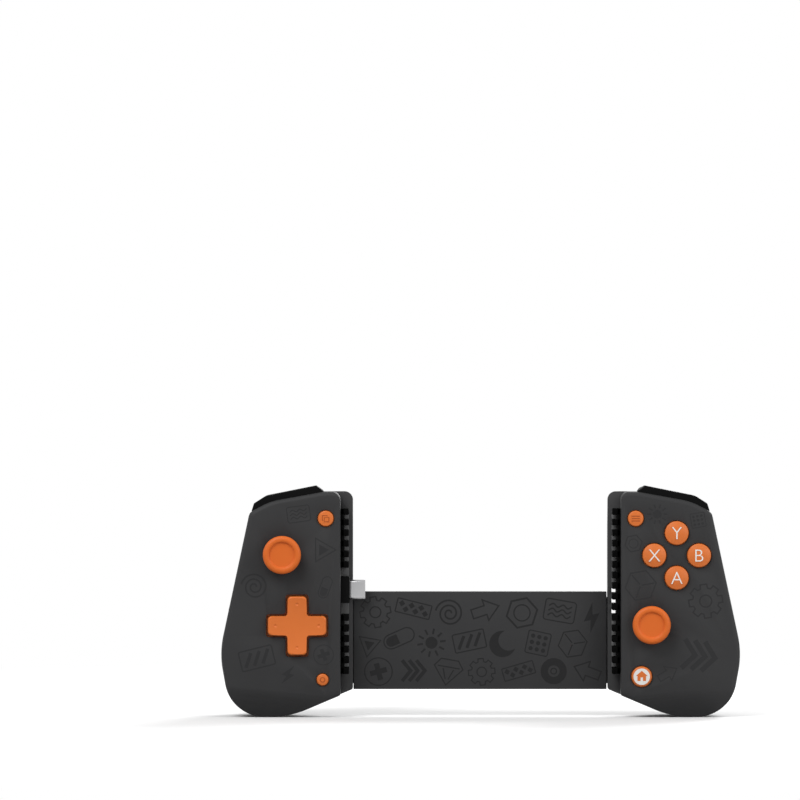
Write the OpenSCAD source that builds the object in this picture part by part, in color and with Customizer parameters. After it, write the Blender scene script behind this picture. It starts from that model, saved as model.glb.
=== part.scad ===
// Stretch game controller for a phone: two grips joined by a sliding, sprung bridge.
// It stands as it is held: +X to the player's right, +Z up to the shoulder keys, -Y to the player.
// The origin is the centre of the bridge's front face, on which the phone's back lies.

/* [Bridge] */
// Length of the bridge between the two grips when it is closed
bridge_length = 107.4; // [100:0.2:116]
// Height of the bridge
bridge_height = 41.2; // [40:0.2:44]
// Thickness of the bridge's front plate
plate_thickness = 1.6; // [1.2:0.1:2]
// Depth of the bridge from the front plate's face to the back of its cover
bridge_depth = 10.4; // [10:0.1:12]
// Wall of the bridge cover
cover_wall = 1.8; // [1.4:0.1:2.2]
// Radius of the cover's long rear edges
cover_round = 5; // [4:0.5:5.5]
// Step in the wavy ends of the cover
wave_step = 2.6; // [1:0.1:3.5]
// How far the bridge opens
slide_travel = 92; // [60:1:95]
// Gap between the rail and the housing that it slides in
slide_gap = 0.3; // [0.2:0.05:0.4]

/* [Rail] */
// How far the closed rail reaches into the left grip
rail_reach = 26; // [15:1:28]
// Thickness of the rail's rear plate
rail_plate_thickness = 2; // [1.6:0.1:2.2]
// Width of the lowered edge along each side of the rail
rail_edge_width = 2; // [1.5:0.1:2.5]
// Depth of the lowered edge and of the channel's deep side
rail_step = 1.5; // [1:0.1:1.5]
// Upper and lower edge of the channel between the two raised bars
rail_channel = [3.5, -5]; // [-8:0.5:8]
// Wall of the rail tray
tray_wall = 1.2; // [1:0.1:1.5]
// Radius of a rail screw's head
rail_screw_head = 1.7; // [1.4:0.1:2]
// Distance of the rail screws from the rail's middle line
rail_screw_offset = 13; // [11:0.5:14]
// Distance between the rail screws along the rail
rail_screw_spacing = 45; // [30:1:55]

/* [Grip outline] */
// Height of a grip's top above the bridge's middle line
grip_top = 63; // [62:0.2:66]
// Distance from the wing's edge to where the top starts to fall
shoulder_start = 12.7; // [11:0.1:14]
// Distance from the wing's edge to the bend of the falling shoulder
shoulder_bend = 34.8; // [33:0.1:36]
// Fall of the shoulder at its bend
shoulder_bend_fall = 4; // [3.6:0.1:5]
// Distance from the wing's edge to the outer top corner
outer_corner = 43.5; // [42:0.1:45]
// Fall of the shoulder at the outer top corner
outer_corner_fall = 8.6; // [8:0.1:9.6]
// Distance from the wing's edge to a grip's widest point, before it is rounded
side_bend = 56.1; // [55:0.1:58]
// Distance of the widest point below the bridge's middle line
side_bend_drop = 4.7; // [3:0.1:6]
// Distance from the wing's edge to the lower lobe's outer corner, before it is rounded
lobe_corner = 51.3; // [50.8:0.1:52.5]
// Distance of the lobe's bottom below the bridge
lobe_drop = 11.4; // [11:0.1:12.5]
// Radius of the lower lobe's outer corner
lobe_radius = 17; // [15:0.1:17.6]
// Distance from the wing's edge to the end of the straight sweep under the grip
sweep_end = 27.1; // [26:0.1:27.8]
// Radius of a grip's inner top corner
top_corner_radius = 3.6; // [2:0.1:5]

/* [Shells] */
// Depth of the front shell, from the faceplate to the parting line
face_depth = 13; // [12.6:0.1:14]
// Wall of the shells
shell_wall = 1.8; // [1.5:0.1:2]
// Radius of the faceplate's edge
face_round = 2; // [1.2:0.1:2.4]
// Distance of the faceplate's lower crease below the bridge's middle line
crease_drop = 21.8; // [21.6:0.1:23]
// How far the face falls back from the crease to the bottom of the lobe
face_fall = 4; // [3:0.5:5]
// Width of the wing that the phone's end lies on
seat_depth = 5.1; // [4.6:0.1:6]
// Depth of the palm swell behind the parting line
palm_depth = 30.5; // [28:0.5:33]
// Depth of the neck under the shoulder keys
neck_depth = 17; // [16:0.5:19]
// Depth of the saddle that carries the trigger
saddle_depth = 21; // [20:0.5:23]
// Height of the fullest part of the palm swell
palm_height = -2; // [-6:0.5:2]
// Length over which the palm swell fades into the neck
palm_fade = 24; // [20:0.5:27]

/* [Seat] */
// Height of the top of the comb pads
pad_top = 55.9; // [54:0.1:57]
// Distance from rib to rib of a comb pad
rib_pitch = 4.46; // [4.2:0.02:4.5]
// Height of one rib
rib_height = 2.7; // [2.2:0.1:3]
// Reach of a rib from the seat wall
rib_reach = 3.4; // [2.6:0.1:4]
// Thickness of a comb pad's back strip
pad_back = 1.5; // [1:0.1:2]
// Height of the plug above the bridge's middle line
plug_height = 21.6; // [21:0.1:22]
// Distance of the plug's middle from the face that the phone lies on
plug_standoff = 4; // [3.6:0.1:4.6]
// Length of the plug's metal shell
plug_length = 6.65; // [6:0.05:7]
// Width of the plug's metal shell
plug_width = 8.25; // [8.2:0.05:8.4]
// Thickness of the plug's metal shell
plug_thickness = 2.4; // [2.3:0.05:2.6]

/* [Sticks] */
// Left stick's place: distance from the wing's edge and height
left_stick_at = [29.7, 36.5]; // [7:0.1:40]
// Right stick's place: distance from the wing's edge and height
right_stick_at = [17.9, 7.1]; // [7:0.1:40]
// Radius of a stick's cap
stick_radius = 8; // [7.4:0.1:8.4]
// Depth of a stick's pivot below the faceplate
stick_pivot_depth = 7; // [6.6:0.1:7]
// Radius of the round skirt under a stick's cap
skirt_radius = 10; // [9.8:0.1:10.2]
// Greatest tilt of a stick about one axis
stick_tilt = 14; // [8:1:14]
// Gap around the moving skirt
skirt_gap = 0.35; // [0.3:0.05:0.5]

/* [Buttons] */
// Middle of the four action buttons: distance from the wing's edge and height
action_at = [28.6, 36.2]; // [25:0.1:40]
// Distance of an action button from that middle
action_spread = 9.4; // [9.2:0.1:10]
// Radius of an action button
action_radius = 5.1; // [4.6:0.1:5.3]
// View and menu buttons' place: distance from the wing's edge and height
option_at = [11.4, 51.7]; // [11:0.1:52]
// Radius of the view and menu buttons
option_radius = 3.4; // [3:0.1:3.5]
// Mode button's place: distance from the wing's edge and height
mode_at = [12.7, -16]; // [-17:0.1:14]
// Radius of the mode button
mode_radius = 2.6; // [2.2:0.1:3]
// Home button's place: distance from the wing's edge and height
home_at = [13.9, -14.7]; // [-16:0.1:15]
// Radius of the home button
home_radius = 4.4; // [4:0.1:4.8]
// Height of an action button above the faceplate
action_proud = 2.2; // [1.8:0.1:2.6]
// Height of a small button above the faceplate
option_proud = 1.1; // [0.9:0.1:1.4]
// Travel of an action button
action_travel = 1.2; // [0.8:0.1:1.4]
// Travel of a small button
option_travel = 0.7; // [0.4:0.1:0.8]
// Gap around a button
button_gap = 0.25; // [0.2:0.05:0.35]

/* [Direction pad] */
// Direction pad's place: distance from the wing's edge and height
dpad_at = [23.4, 6.7]; // [4:0.1:26]
// Width across the direction pad
dpad_span = 24.6; // [23:0.1:26]
// Width of one arm
dpad_arm = 8.7; // [8:0.1:9.2]
// Height of the direction pad above the faceplate
dpad_proud = 2.5; // [2:0.1:3]
// Depth of the direction pad's pivot below the faceplate
dpad_pivot_depth = 5.9; // [5.8:0.1:6.2]
// Gap around the rocking direction pad
dpad_gap = 0.75; // [0.7:0.05:0.9]

/* [Shoulder keys] */
// Length of a shoulder key along the shoulder
key_length = 31.6; // [30:0.1:32]
// Height of a bumper above the shoulder's line
bumper_proud = 4.3; // [4:0.1:4.6]
// Travel of a bumper
bumper_travel = 0.9; // [0.5:0.1:1]
// Gap around a bumper
bumper_gap = 0.3; // [0.25:0.05:0.4]
// Distance of a trigger's lip behind the parting line
trigger_reach = 22.6; // [21.5:0.1:23.5]
// Thickness of a trigger's blade
trigger_blade = 2; // [1.6:0.1:2.2]
// Distance of the trigger's pin behind the parting line
trigger_pin_back = 5; // [4.8:0.1:5.4]
// Depth of the trigger's pin below the shoulder's line
trigger_pin_depth = 5; // [4.6:0.1:5.4]
// Radius of the trigger's pin
trigger_pin_radius = 1; // [0.8:0.05:1.2]

/* [Boards and screws] */
// Thickness of a circuit board
board_thickness = 1.2; // [1:0.1:1.6]
// Distance of a board's front from the parting plane
board_setback = 0.2; // [0.1:0.05:0.4]
// Places of the upper case screw: distance from the wing's edge and height
upper_screw_at = [42, 22]; // [20:0.1:43]
// Places of the lower case screw: distance from the wing's edge and height
lower_screw_at = [37.5, -17]; // [-18:0.1:39]
// Radius of a case screw's shank
case_screw_radius = 1.1; // [0.9:0.05:1.3]
// Radius of a case screw's head
case_screw_head = 2.2; // [1.9:0.1:2.4]
// Distance of a case screw's head seat behind the parting plane
case_screw_seat = 7; // [6:0.5:8]
// Number of curls of the bridge's return spring
spring_curls = 36; // [20:1:40]
// Radius of the return spring's wire
spring_wire = 0.25; // [0.2:0.05:0.3]
// Radius of the return spring at the middle of its wire
spring_radius = 1.05; // [0.9:0.05:1.1]

/* [Hidden] */
$fn = 48;

shell_grey = [0.24, 0.24, 0.24];
cover_grey = [0.45, 0.45, 0.45];
key_black = [0.05, 0.05, 0.05];
button_orange = [0.83, 0.42, 0.2];
board_green = [0.1, 0.3, 0.16];
steel = [0.7, 0.7, 0.72];
frame_white = [0.8, 0.8, 0.78];

RIGHT = 1;
LEFT = -1;
// Running clearance of a pin or shaft in its bore, and clearance of a piece that is only seated
pin_gap = 0.05;
seat_gap = 0.05;
// Overlap of a cutting body past the face that it cuts
cut = 1;

wing_edge = bridge_length / 2;
seat_x = wing_edge + seat_depth;
cavity_x = seat_x + shell_wall;
face_y = -face_depth;
inner_y = face_y + shell_wall;
bridge_half = bridge_height / 2;
board_front = -board_setback;
board_back = board_front + board_thickness;

rail_front = plate_thickness + slide_gap;
rail_back = bridge_depth - cover_wall - slide_gap;
tray_back = rail_back - rail_plate_thickness;
rail_half = bridge_half - cover_wall - 2 * slide_gap;
rail_end = wing_edge + rail_reach;

// Points and corners of the outlines, as [x, z]

function place(at) = [wing_edge + at[0], at[1]];
function unit(v) = v / norm(v);
function flat(corner) = [corner[0], corner[1]];
function left_of(d) = [-d[1], d[0]];
function ring_item(list, i) = list[(i + len(list)) % len(list)];
function smooth(s) = let (c = min(max(s, 0), 1)) c * c * (3 - 2 * c);

// Arc that rounds the corner q between p and r
function corner_arc(p, q, r, radius, steps) =
    let (
        a = unit(p - q),
        b = unit(r - q),
        half = acos(a * b) / 2,
        middle = q + unit(a + b) * radius / sin(half),
        first = q + a * radius / tan(half) - middle,
        last = q + b * radius / tan(half) - middle,
        turn = 180 - 2 * half
    )
    [for (i = [0 : steps])
        middle + (first * sin((1 - i / steps) * turn) + last * sin(i / steps * turn)) / sin(turn)];

function rounded_corner(corners, i, steps) =
    let (before = flat(ring_item(corners, i - 1)), after = flat(ring_item(corners, i + 1)))
    corner_arc(before, flat(corners[i]), after, corners[i][2], steps);

function rounded(corners, steps) = [for (i = [0 : len(corners) - 1]) each rounded_corner(corners, i, steps)];

// The same corners moved inwards by a margin
function inset(corners, margin) = [
    for (i = [0 : len(corners) - 1])
        let (
            here = flat(corners[i]),
            before = unit(here - flat(ring_item(corners, i - 1))),
            after = unit(flat(ring_item(corners, i + 1)) - here),
            turned = left_of(before) + left_of(after),
            moved = here + turned * margin / (1 + left_of(before) * left_of(after))
        )
        [moved[0], moved[1], max(corners[i][2] - margin, 0.4)]
];

// Corners of the right grip from its inner edge round to its top, as [x, z, radius]
grip_outer_x = wing_edge + outer_corner;
grip_outer_z = grip_top - outer_corner_fall;
lobe_z = -bridge_half - lobe_drop;
sweep_slope = lobe_drop / sweep_end;
foot_radius = 1.2;
sweep_radius = 40;
side_radius = 38;
shoulder_bend_radius = 25;
shoulder_start_radius = 18;
outer_corner_radius = 4;

function grip_corners(edge) = [
    [edge, -bridge_half - sweep_slope * (edge - wing_edge), foot_radius],
    [wing_edge + sweep_end, lobe_z, sweep_radius],
    [wing_edge + lobe_corner, lobe_z, lobe_radius],
    [wing_edge + side_bend, -side_bend_drop, side_radius],
    [grip_outer_x, grip_outer_z, outer_corner_radius],
    [wing_edge + shoulder_bend, grip_top - shoulder_bend_fall, shoulder_bend_radius],
    [wing_edge + shoulder_start, grip_top, shoulder_start_radius],
    [edge, grip_top, top_corner_radius]
];

// Rear shell: arches that rise from the outline to a spine along the grip

spine_low = [wing_edge + 34.3, -6];
spine_high = [wing_edge + 27.3, 44];
spine_rows = 9;
arch_steps = 10;
arch_power = 0.8;
neck_blend = 3;
neck_height = 42;
wing_flat = 0.16;
rim_round = 4.5;
inner_round = 0.5;
wing_fade_low = 27;
wing_fade_high = 16;

function spine(j) = spine_low + (spine_high - spine_low) * j / spine_rows;
function crown(z) =
    neck_depth
    + (palm_depth - neck_depth) * exp(-pow((z - palm_height) / palm_fade, 2))
    + (saddle_depth - neck_depth) / (1 + exp(-(z - neck_height) / neck_blend));
function between(a, b, count) = [for (i = [1 : count]) a + (b - a) * i / (count + 1)];

// Outline points, each with its arch's spine row, its share of the flat wing and its edge radius
function rim_points(edge, margin) =
    let (
        corners = inset(grip_corners(edge), margin),
        inner_x = corners[0][0],
        foot = rounded_corner(corners, 0, 3),
        sweep = rounded_corner(corners, 1, 5),
        lobe = rounded_corner(corners, 2, 8),
        side = rounded_corner(corners, 3, 3),
        side_top = rounded_corner(corners, 4, 4)[0],
        wing_share = function (x, fade) 1 - smooth((x - wing_edge) / fade)
    )
    concat(
        [for (j = [0 : spine_rows])
            let (p = side[3] + (side_top - side[3]) * (j + 0.5) / (spine_rows + 1))
            [p[0], p[1], j, 0, rim_round]],
        [for (i = [4 : 7], p = rounded_corner(corners, i, 4))
            [p[0], p[1], spine_rows, wing_share(p[0], wing_fade_high), rim_round]],
        [for (j = [spine_rows : -1 : 0]) [inner_x, spine(j)[1], j, 1, inner_round]],
        [for (p = concat(foot, between(foot[3], sweep[0], 4), sweep, lobe, side))
            [p[0], p[1], 0, wing_share(p[0], wing_fade_low), rim_round]]
    );

// One point of the arch over a rim point: [share of the way to the spine, depth]
function round_arch(depth, k) =
    let (turn = 90 * k / arch_steps) [1 - pow(cos(turn), arch_power), depth * pow(sin(turn), arch_power)];
function wing_arch(depth, wing, radius, reach, k) =
    k == 0 ? [0, 0] :
    k <= 3 ? [radius / reach * (1 - cos(45 * (k - 1))), wing - radius + radius * sin(45 * (k - 1))] :
    let (
        start = radius / reach,
        s = start + (1 - start) * (k - 3) / (arch_steps - 3)
    )
    [s, wing + (depth - wing) * smooth((s - wing_flat) / (1 - wing_flat))];

function arch_point(rim, k, margin, wing, base) =
    let (
        top = spine(rim[2]),
        depth = crown(top[1]) - margin,
        reach = norm(top - flat(rim)),
        a = round_arch(depth, k),
        b = wing_arch(depth, wing - margin, rim[4], reach, k),
        mixed = a + (b - a) * rim[3],
        spot = flat(rim) + (top - flat(rim)) * mixed[0]
    )
    [spot[0], k == 0 ? base : mixed[1], spot[1]];

module dome(edge, margin, wing, base) {
    rims = rim_points(edge, margin);
    count = len(rims);
    arches = [for (rim = rims, k = [0 : arch_steps - 1]) arch_point(rim, k, margin, wing, base)];
    tops = [for (j = [0 : spine_rows]) [spine(j)[0], crown(spine(j)[1]) - margin, spine(j)[1]]];
    polyhedron(
        points = concat(arches, tops),
        faces = concat(
            [[for (i = [count - 1 : -1 : 0]) i * arch_steps]],
            [for (i = [0 : count - 1], k = [0 : arch_steps - 2])
                let (a = i * arch_steps + k, b = (i + 1) % count * arch_steps + k)
                each [[a, b, b + 1], [a, b + 1, a + 1]]],
            [for (i = [0 : count - 1])
                let (
                    next = (i + 1) % count,
                    a = i * arch_steps + arch_steps - 1,
                    b = next * arch_steps + arch_steps - 1,
                    top = len(arches)
                )
                each rims[i][2] == rims[next][2]
                    ? [[a, b, top + rims[next][2]]]
                    : [[a, b, top + rims[next][2]], [a, top + rims[next][2], top + rims[i][2]]]]
        )
    );
}

// Bodies in the axes of the object

module on_side(side) {
    if (side == RIGHT)
        children();
    else
        mirror([1, 0, 0]) children();
}

// Outline in [x, z] drawn from one depth to another
module slab(points, from_y, to_y) {
    translate([0, to_y, 0]) rotate([90, 0, 0]) linear_extrude(to_y - from_y) polygon(points);
}

// Outline in [y, z] drawn from one side to another
module bar(points, from_x, to_x) {
    translate([from_x, 0, 0]) rotate([90, 0, 90]) linear_extrude(to_x - from_x) polygon(points);
}

module block(low, high) {
    translate(low) cube(high - low);
}

module rod_y(at, radius, from_y, to_y) {
    translate([at[0], to_y, at[1]]) rotate([90, 0, 0]) cylinder(r = radius, h = to_y - from_y);
}

module rod_x(y, z, radius, from_x, to_x) {
    translate([from_x, y, z]) rotate([0, 90, 0]) cylinder(r = radius, h = to_x - from_x);
}

module rod_z(x, y, radius, from_z, to_z) {
    translate([x, y, from_z]) cylinder(r = radius, h = to_z - from_z);
}

// Turned body: profile as [radius, height towards the player] from the depth y
module turned(at, y, profile) {
    translate([at[0], y, at[1]]) rotate([90, 0, 0]) rotate_extrude() polygon(profile);
}

// Skin over rings of equal count, each as [points, depth]
module loft(rings) {
    count = len(rings[0][0]);
    last = len(rings) - 1;
    polyhedron(
        points = [for (ring = rings, p = ring[0]) [p[0], ring[1], p[1]]],
        faces = concat(
            [[for (i = [count - 1 : -1 : 0]) i], [for (i = [0 : count - 1]) last * count + i]],
            [for (k = [0 : last - 1], i = [0 : count - 1])
                let (a = k * count + i, b = k * count + (i + 1) % count)
                each [[a, b, b + count], [a, b + count, a + count]]]
        )
    );
}

// Round wire of six sides along a path, set out from the axis of the coil
module wire(path, radius, axis) {
    last = len(path) - 1;
    sides = 6;
    rings = [for (i = [0 : last])
        let (
            run = unit(path[min(i + 1, last)] - path[max(i - 1, 0)]),
            across = unit(cross(run, axis)),
            up = cross(run, across)
        )
        [for (s = [0 : sides - 1])
            let (turn = s * 360 / sides) path[i] + radius * (across * cos(turn) + up * sin(turn))]];
    polyhedron(
        points = [for (ring = rings) each ring],
        faces = concat(
            [[for (s = [sides - 1 : -1 : 0]) s], [for (s = [0 : sides - 1]) last * sides + s]],
            [for (i = [0 : last - 1], s = [0 : sides - 1])
                let (a = i * sides + s, b = i * sides + (s + 1) % sides)
                each [[a, b, b + sides], [a, b + sides, a + sides]]]
        )
    );
}

function coil(radius, curls, from_x, to_x, y, z) = [
    for (i = [0 : 8 * curls])
        [from_x + (to_x - from_x) * i / (8 * curls), y + radius * cos(45 * i), z + radius * sin(45 * i)]
];

// Axes of the shoulder keys: X along the shoulder, Y backwards, Z out of the shoulder
shoulder_angle = atan2(outer_corner_fall, outer_corner - shoulder_start);
// The keys sit a little nearer the bridge than the middle of the slope
key_shift = 0.5;
module shoulder() {
    translate([wing_edge + (shoulder_start + outer_corner) / 2, 0, grip_top - outer_corner_fall / 2])
        rotate([0, shoulder_angle, 0]) translate([-key_shift, 0, 0]) children();
}

key_half = key_length / 2;
bumper_back = 0.9;
slot_front = inner_y - 0.3;
bumper_floor = -3;
stem_floor = bumper_floor - 5.3;
stem_middle = -7;
stem_half = 2.5;
stem_front = -8;
stem_back = -3;
switch_top = stem_floor - bumper_travel - 0.2;
switch_height = 3.5;
trigger_front = bumper_back + 1.1;
trigger_lug_inner = 6;
trigger_lug_outer = key_half - 2.4;
trigger_ear = 2;
trigger_barrel = trigger_pin_radius + 1.6;

module bumper_slot() {
    half = key_half + bumper_gap;
    shoulder() block([-half, slot_front, -6], [half, bumper_back + bumper_gap, 8]);
}

// Shells

case_screw_places = [place(upper_screw_at), place(lower_screw_at)];
case_boss = case_screw_head + 1.8;

function face_outline(margin) = rounded(inset(grip_corners(seat_x), margin), 8);
face_rings = [
    for (turn = [90 : -30 : 0])
        [face_outline(face_round * (1 - cos(turn))), face_y + face_round * (1 - sin(turn))],
    [face_outline(0), 0]
];

// Space in front of the lower lobe, where the face falls back from its crease
module lower_fall(margin) {
    low = crease_drop + lobe_z;
    steps = [for (i = [0 : 8]) i / 5];
    translate([wing_edge + 22, margin, -crease_drop])
        rotate([0, -5, 0])
            bar(
                concat(
                    [[face_y - margin - cut, -margin / 3]],
                    [for (t = steps) [face_y + face_fall * t * (0.4 + 0.6 * t), low * t - margin / 3]],
                    [[face_y - margin - cut, low * 1.6 - margin / 3]]
                ),
                -40, 60
            );
}

// Hollow front shell before its openings, with the bosses that the boards and screws sit on
module face_body() {
    difference() {
        loft(face_rings);
        lower_fall(0);
        difference() {
            slab(face_outline(shell_wall), inner_y, cut);
            lower_fall(shell_wall + 0.1);
            for (at = case_screw_places)
                rod_y(at, case_screw_radius + 1.8, inner_y - cut, board_front);
        }
        for (at = case_screw_places)
            rod_y(at, case_screw_radius + pin_gap, inner_y + 2, cut);
        bumper_slot();
    }
}

module round_opening(at, radius) {
    rod_y(at, radius + button_gap, face_y - cut, inner_y + cut);
}

module stick_opening(at) {
    translate([at[0], face_y + stick_pivot_depth, at[1]]) sphere(r = skirt_radius + skirt_gap);
}

action_places = [for (turn = [0 : 90 : 270]) place(action_at) + action_spread * [cos(turn), sin(turn)]];

module right_front_shell() {
    color(shell_grey)
        difference() {
            face_body();
            for (at = action_places)
                round_opening(at, action_radius);
            round_opening(place(option_at), option_radius);
            round_opening(place(home_at), home_radius);
            stick_opening(place(right_stick_at));
        }
}

plug_base_half = plug_width / 2 + 1.5;
plug_base_thick = plug_thickness / 2 + 2;

module left_front_shell() {
    color(shell_grey)
        on_side(LEFT)
            difference() {
                face_body();
                round_opening(place(option_at), option_radius);
                round_opening(place(mode_at), mode_radius);
                stick_opening(place(left_stick_at));
                slab(dpad_cross(dpad_gap), face_y - cut, inner_y + cut);
                translate([0, -plug_standoff, plug_height])
                    block(
                        [seat_x - cut, -plug_base_thick - seat_gap, -plug_base_half - seat_gap],
                        [cavity_x + cut, plug_base_thick + seat_gap, plug_base_half + seat_gap]
                    );
            }
}

module trigger_bore(radius) {
    rod_x(trigger_pin_back, -trigger_pin_depth, radius, -key_half - cut, key_half + cut);
}

// Hollow rear shell with its screw bosses and the ears of the trigger's pin
module back_body(wing) {
    ear_middle = trigger_lug_outer + 0.1 + trigger_ear / 2;
    difference() {
        dome(wing_edge, 0, wing, 0);
        difference() {
            dome(cavity_x - shell_wall, shell_wall, wing, -cut);
            for (at = case_screw_places)
                rod_y(at, case_boss, board_back, palm_depth);
            shoulder()
                for (end = [-1, 1])
                    translate([end * ear_middle, trigger_pin_back, -trigger_pin_depth])
                        block(
                            [-trigger_ear / 2, -trigger_barrel, -trigger_barrel],
                            [trigger_ear / 2, trigger_barrel, 9]
                        );
        }
        for (at = case_screw_places) {
            rod_y(at, case_screw_radius + 0.2, -cut, palm_depth);
            rod_y(at, case_screw_head + 0.3, case_screw_seat, palm_depth + cut);
        }
        bumper_slot();
        shoulder() {
            block(
                [-trigger_lug_outer, 0, -6],
                [trigger_lug_outer, trigger_pin_back + trigger_barrel + 1.4, 8]
            );
            trigger_bore(trigger_pin_radius + 0.02);
        }
    }
}

tongue_top = 9;
tongue_end = wing_edge + 10;
slot_first = 7;
slot_count = 3;

module right_rear_shell() {
    color(cover_grey)
        difference() {
            back_body(rail_back);
            block(
                [wing_edge - cut, rail_front - seat_gap, -rail_half - seat_gap],
                [tongue_end + seat_gap, tray_back + seat_gap, tongue_top + seat_gap]
            );
            for (i = [slot_first : slot_first + slot_count - 1])
                block(
                    [seat_x - rib_reach, -cut, pad_top - (i + 1) * rib_pitch],
                    [seat_x - pad_back, rail_back + cut, pad_top - i * rib_pitch - rib_height]
                );
        }
}

wave_half = 6;
seam_gap = 0.15;
end_gap = 0.4;
function wave(z) = wave_step * smooth((z + wave_half) / (2 * wave_half));
wave_heights = [-bridge_half, for (i = [0 : 12]) wave_half * (i / 6 - 1), bridge_half];

module left_rear_shell() {
    color(cover_grey)
        on_side(LEFT)
            difference() {
                back_body(bridge_depth);
                block(
                    [wing_edge - cut, plate_thickness, -bridge_half + cover_wall],
                    [rail_end + 3, bridge_depth - cover_wall, bridge_half - cover_wall]
                );
                slab(
                    concat(
                        [[wing_edge - cut, bridge_half + seam_gap], [wing_edge - cut, -bridge_half - cut]],
                        [for (z = wave_heights) [wing_edge + wave(z), z]],
                        [[wing_edge + wave_step, bridge_half + seam_gap]]
                    ),
                    plate_thickness, bridge_depth + cut
                );
            }
}

// Seats

module comb(first, count) {
    top = pad_top - first * rib_pitch;
    low = top - (count - 1) * rib_pitch - rib_height;
    block([seat_x - pad_back, face_y + 2, low], [seat_x, -1, top]);
    for (i = [0 : count - 1])
        block(
            [seat_x - rib_reach, face_y + 2, top - i * rib_pitch - rib_height],
            [seat_x - pad_back / 2, -1, top - i * rib_pitch]
        );
}

module right_pad() {
    color(key_black) comb(0, 16);
}

module left_pads() {
    color(key_black)
        on_side(LEFT) {
            comb(0, 6);
            comb(10, 6);
        }
}

plug_face = seat_x - rib_reach - 0.2;

function stadium(half, radius) = rounded([
    [-radius, -half, radius - 0.01],
    [radius, -half, radius - 0.01],
    [radius, half, radius - 0.01],
    [-radius, half, radius - 0.01]
], 8);

module usb_plug() {
    shell = 0.3;
    tongue = 0.35;
    depth = plug_thickness / 2;
    tip = plug_face - plug_length;
    color(steel)
        on_side(LEFT)
            translate([0, -plug_standoff, plug_height])
                difference() {
                    bar(stadium(plug_width / 2, depth), tip, plug_face);
                    difference() {
                        bar(stadium(plug_width / 2 - shell, depth - shell), tip - cut, plug_face - 1);
                        block(
                            [tip + 1, -tongue, -plug_width / 2 + 1],
                            [plug_face, tongue, plug_width / 2 - 1]
                        );
                    }
                }
}

module usb_plug_base() {
    color(key_black)
        on_side(LEFT)
            translate([0, -plug_standoff, plug_height]) {
                block(
                    [plug_face, -plug_base_thick, -plug_base_half],
                    [cavity_x + cut, plug_base_thick, plug_base_half]
                );
                block(
                    [cavity_x + seat_gap, -plug_base_thick + 0.4, -plug_base_half - 1.5],
                    [cavity_x + 2, plug_base_thick - 0.6, plug_base_half + 1.5]
                );
            }
}

// Bridge

spring_post = wing_edge - 4.7;
spring_post_radius = 0.8;
tray_floor = rail_front + tray_wall;
spring_line = (tray_floor + tray_back) / 2;

module bridge_plate() {
    color(shell_grey) {
        block([-wing_edge + seam_gap, 0, -bridge_half], [wing_edge - end_gap, plate_thickness, bridge_half]);
        rod_y([-spring_post, 0], spring_post_radius, plate_thickness / 2, spring_line + 1);
    }
}

module bridge_cover() {
    outer = [
        [plate_thickness, -bridge_half, 0.4],
        [bridge_depth, -bridge_half, cover_round],
        [bridge_depth, bridge_half, cover_round],
        [plate_thickness, bridge_half, 0.4]
    ];
    plan = concat(
        [for (z = wave_heights) [wing_edge - end_gap - wave_step + wave(z), z]],
        [for (i = [len(wave_heights) - 1 : -1 : 0])
            [-wing_edge + seam_gap - wave(wave_heights[i]), wave_heights[i]]]
    );
    color(cover_grey)
        difference() {
            intersection() {
                bar(rounded(outer, 6), -wing_edge - wave_step - cut, wing_edge);
                slab(plan, 0, bridge_depth + cut);
            }
            bar(
                concat(
                    [[plate_thickness - cut, -bridge_half + cover_wall]],
                    rounded_corner(inset(outer, cover_wall), 1, 6),
                    rounded_corner(inset(outer, cover_wall), 2, 6),
                    [[plate_thickness - cut, bridge_half - cover_wall]]
                ),
                -wing_edge - wave_step - 2 * cut, wing_edge + cut
            );
        }
}

rail_screw_x = wing_edge - 5.5;
rail_screw_places = [
    for (column = [0, 1], row = [-1, 1]) [rail_screw_x - column * rail_screw_spacing, row * rail_screw_offset]
];
rail_screw_shank = 0.8;
rail_screw_head_depth = 0.8;

// Tray that is open to the rear and at both ends, with a slot for the post on the bridge's plate
module rail_tray() {
    slot_half = spring_post_radius + slide_gap;
    color(shell_grey)
        difference() {
            block([-rail_end, rail_front, -rail_half], [tongue_end, tray_back, rail_half]);
            block(
                [wing_edge, rail_front - cut, tongue_top],
                [tongue_end + cut, tray_back + cut, rail_half + cut]
            );
            difference() {
                block(
                    [-rail_end - cut, tray_floor, -rail_half + tray_wall],
                    [tongue_end + cut, tray_back + cut, rail_half - tray_wall]
                );
                rod_y([spring_post, 0], spring_post_radius, tray_floor - cut, spring_line + 1);
                for (at = rail_screw_places)
                    rod_y(at, rail_screw_shank + 1.2, tray_floor - cut, tray_back);
            }
            block(
                [-rail_end - cut, rail_front - cut, -slot_half],
                [-spring_post + slot_half, tray_floor + cut, slot_half]
            );
            for (at = rail_screw_places)
                rod_y(at, rail_screw_shank + pin_gap, tray_floor, tray_back + cut);
        }
}

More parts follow.
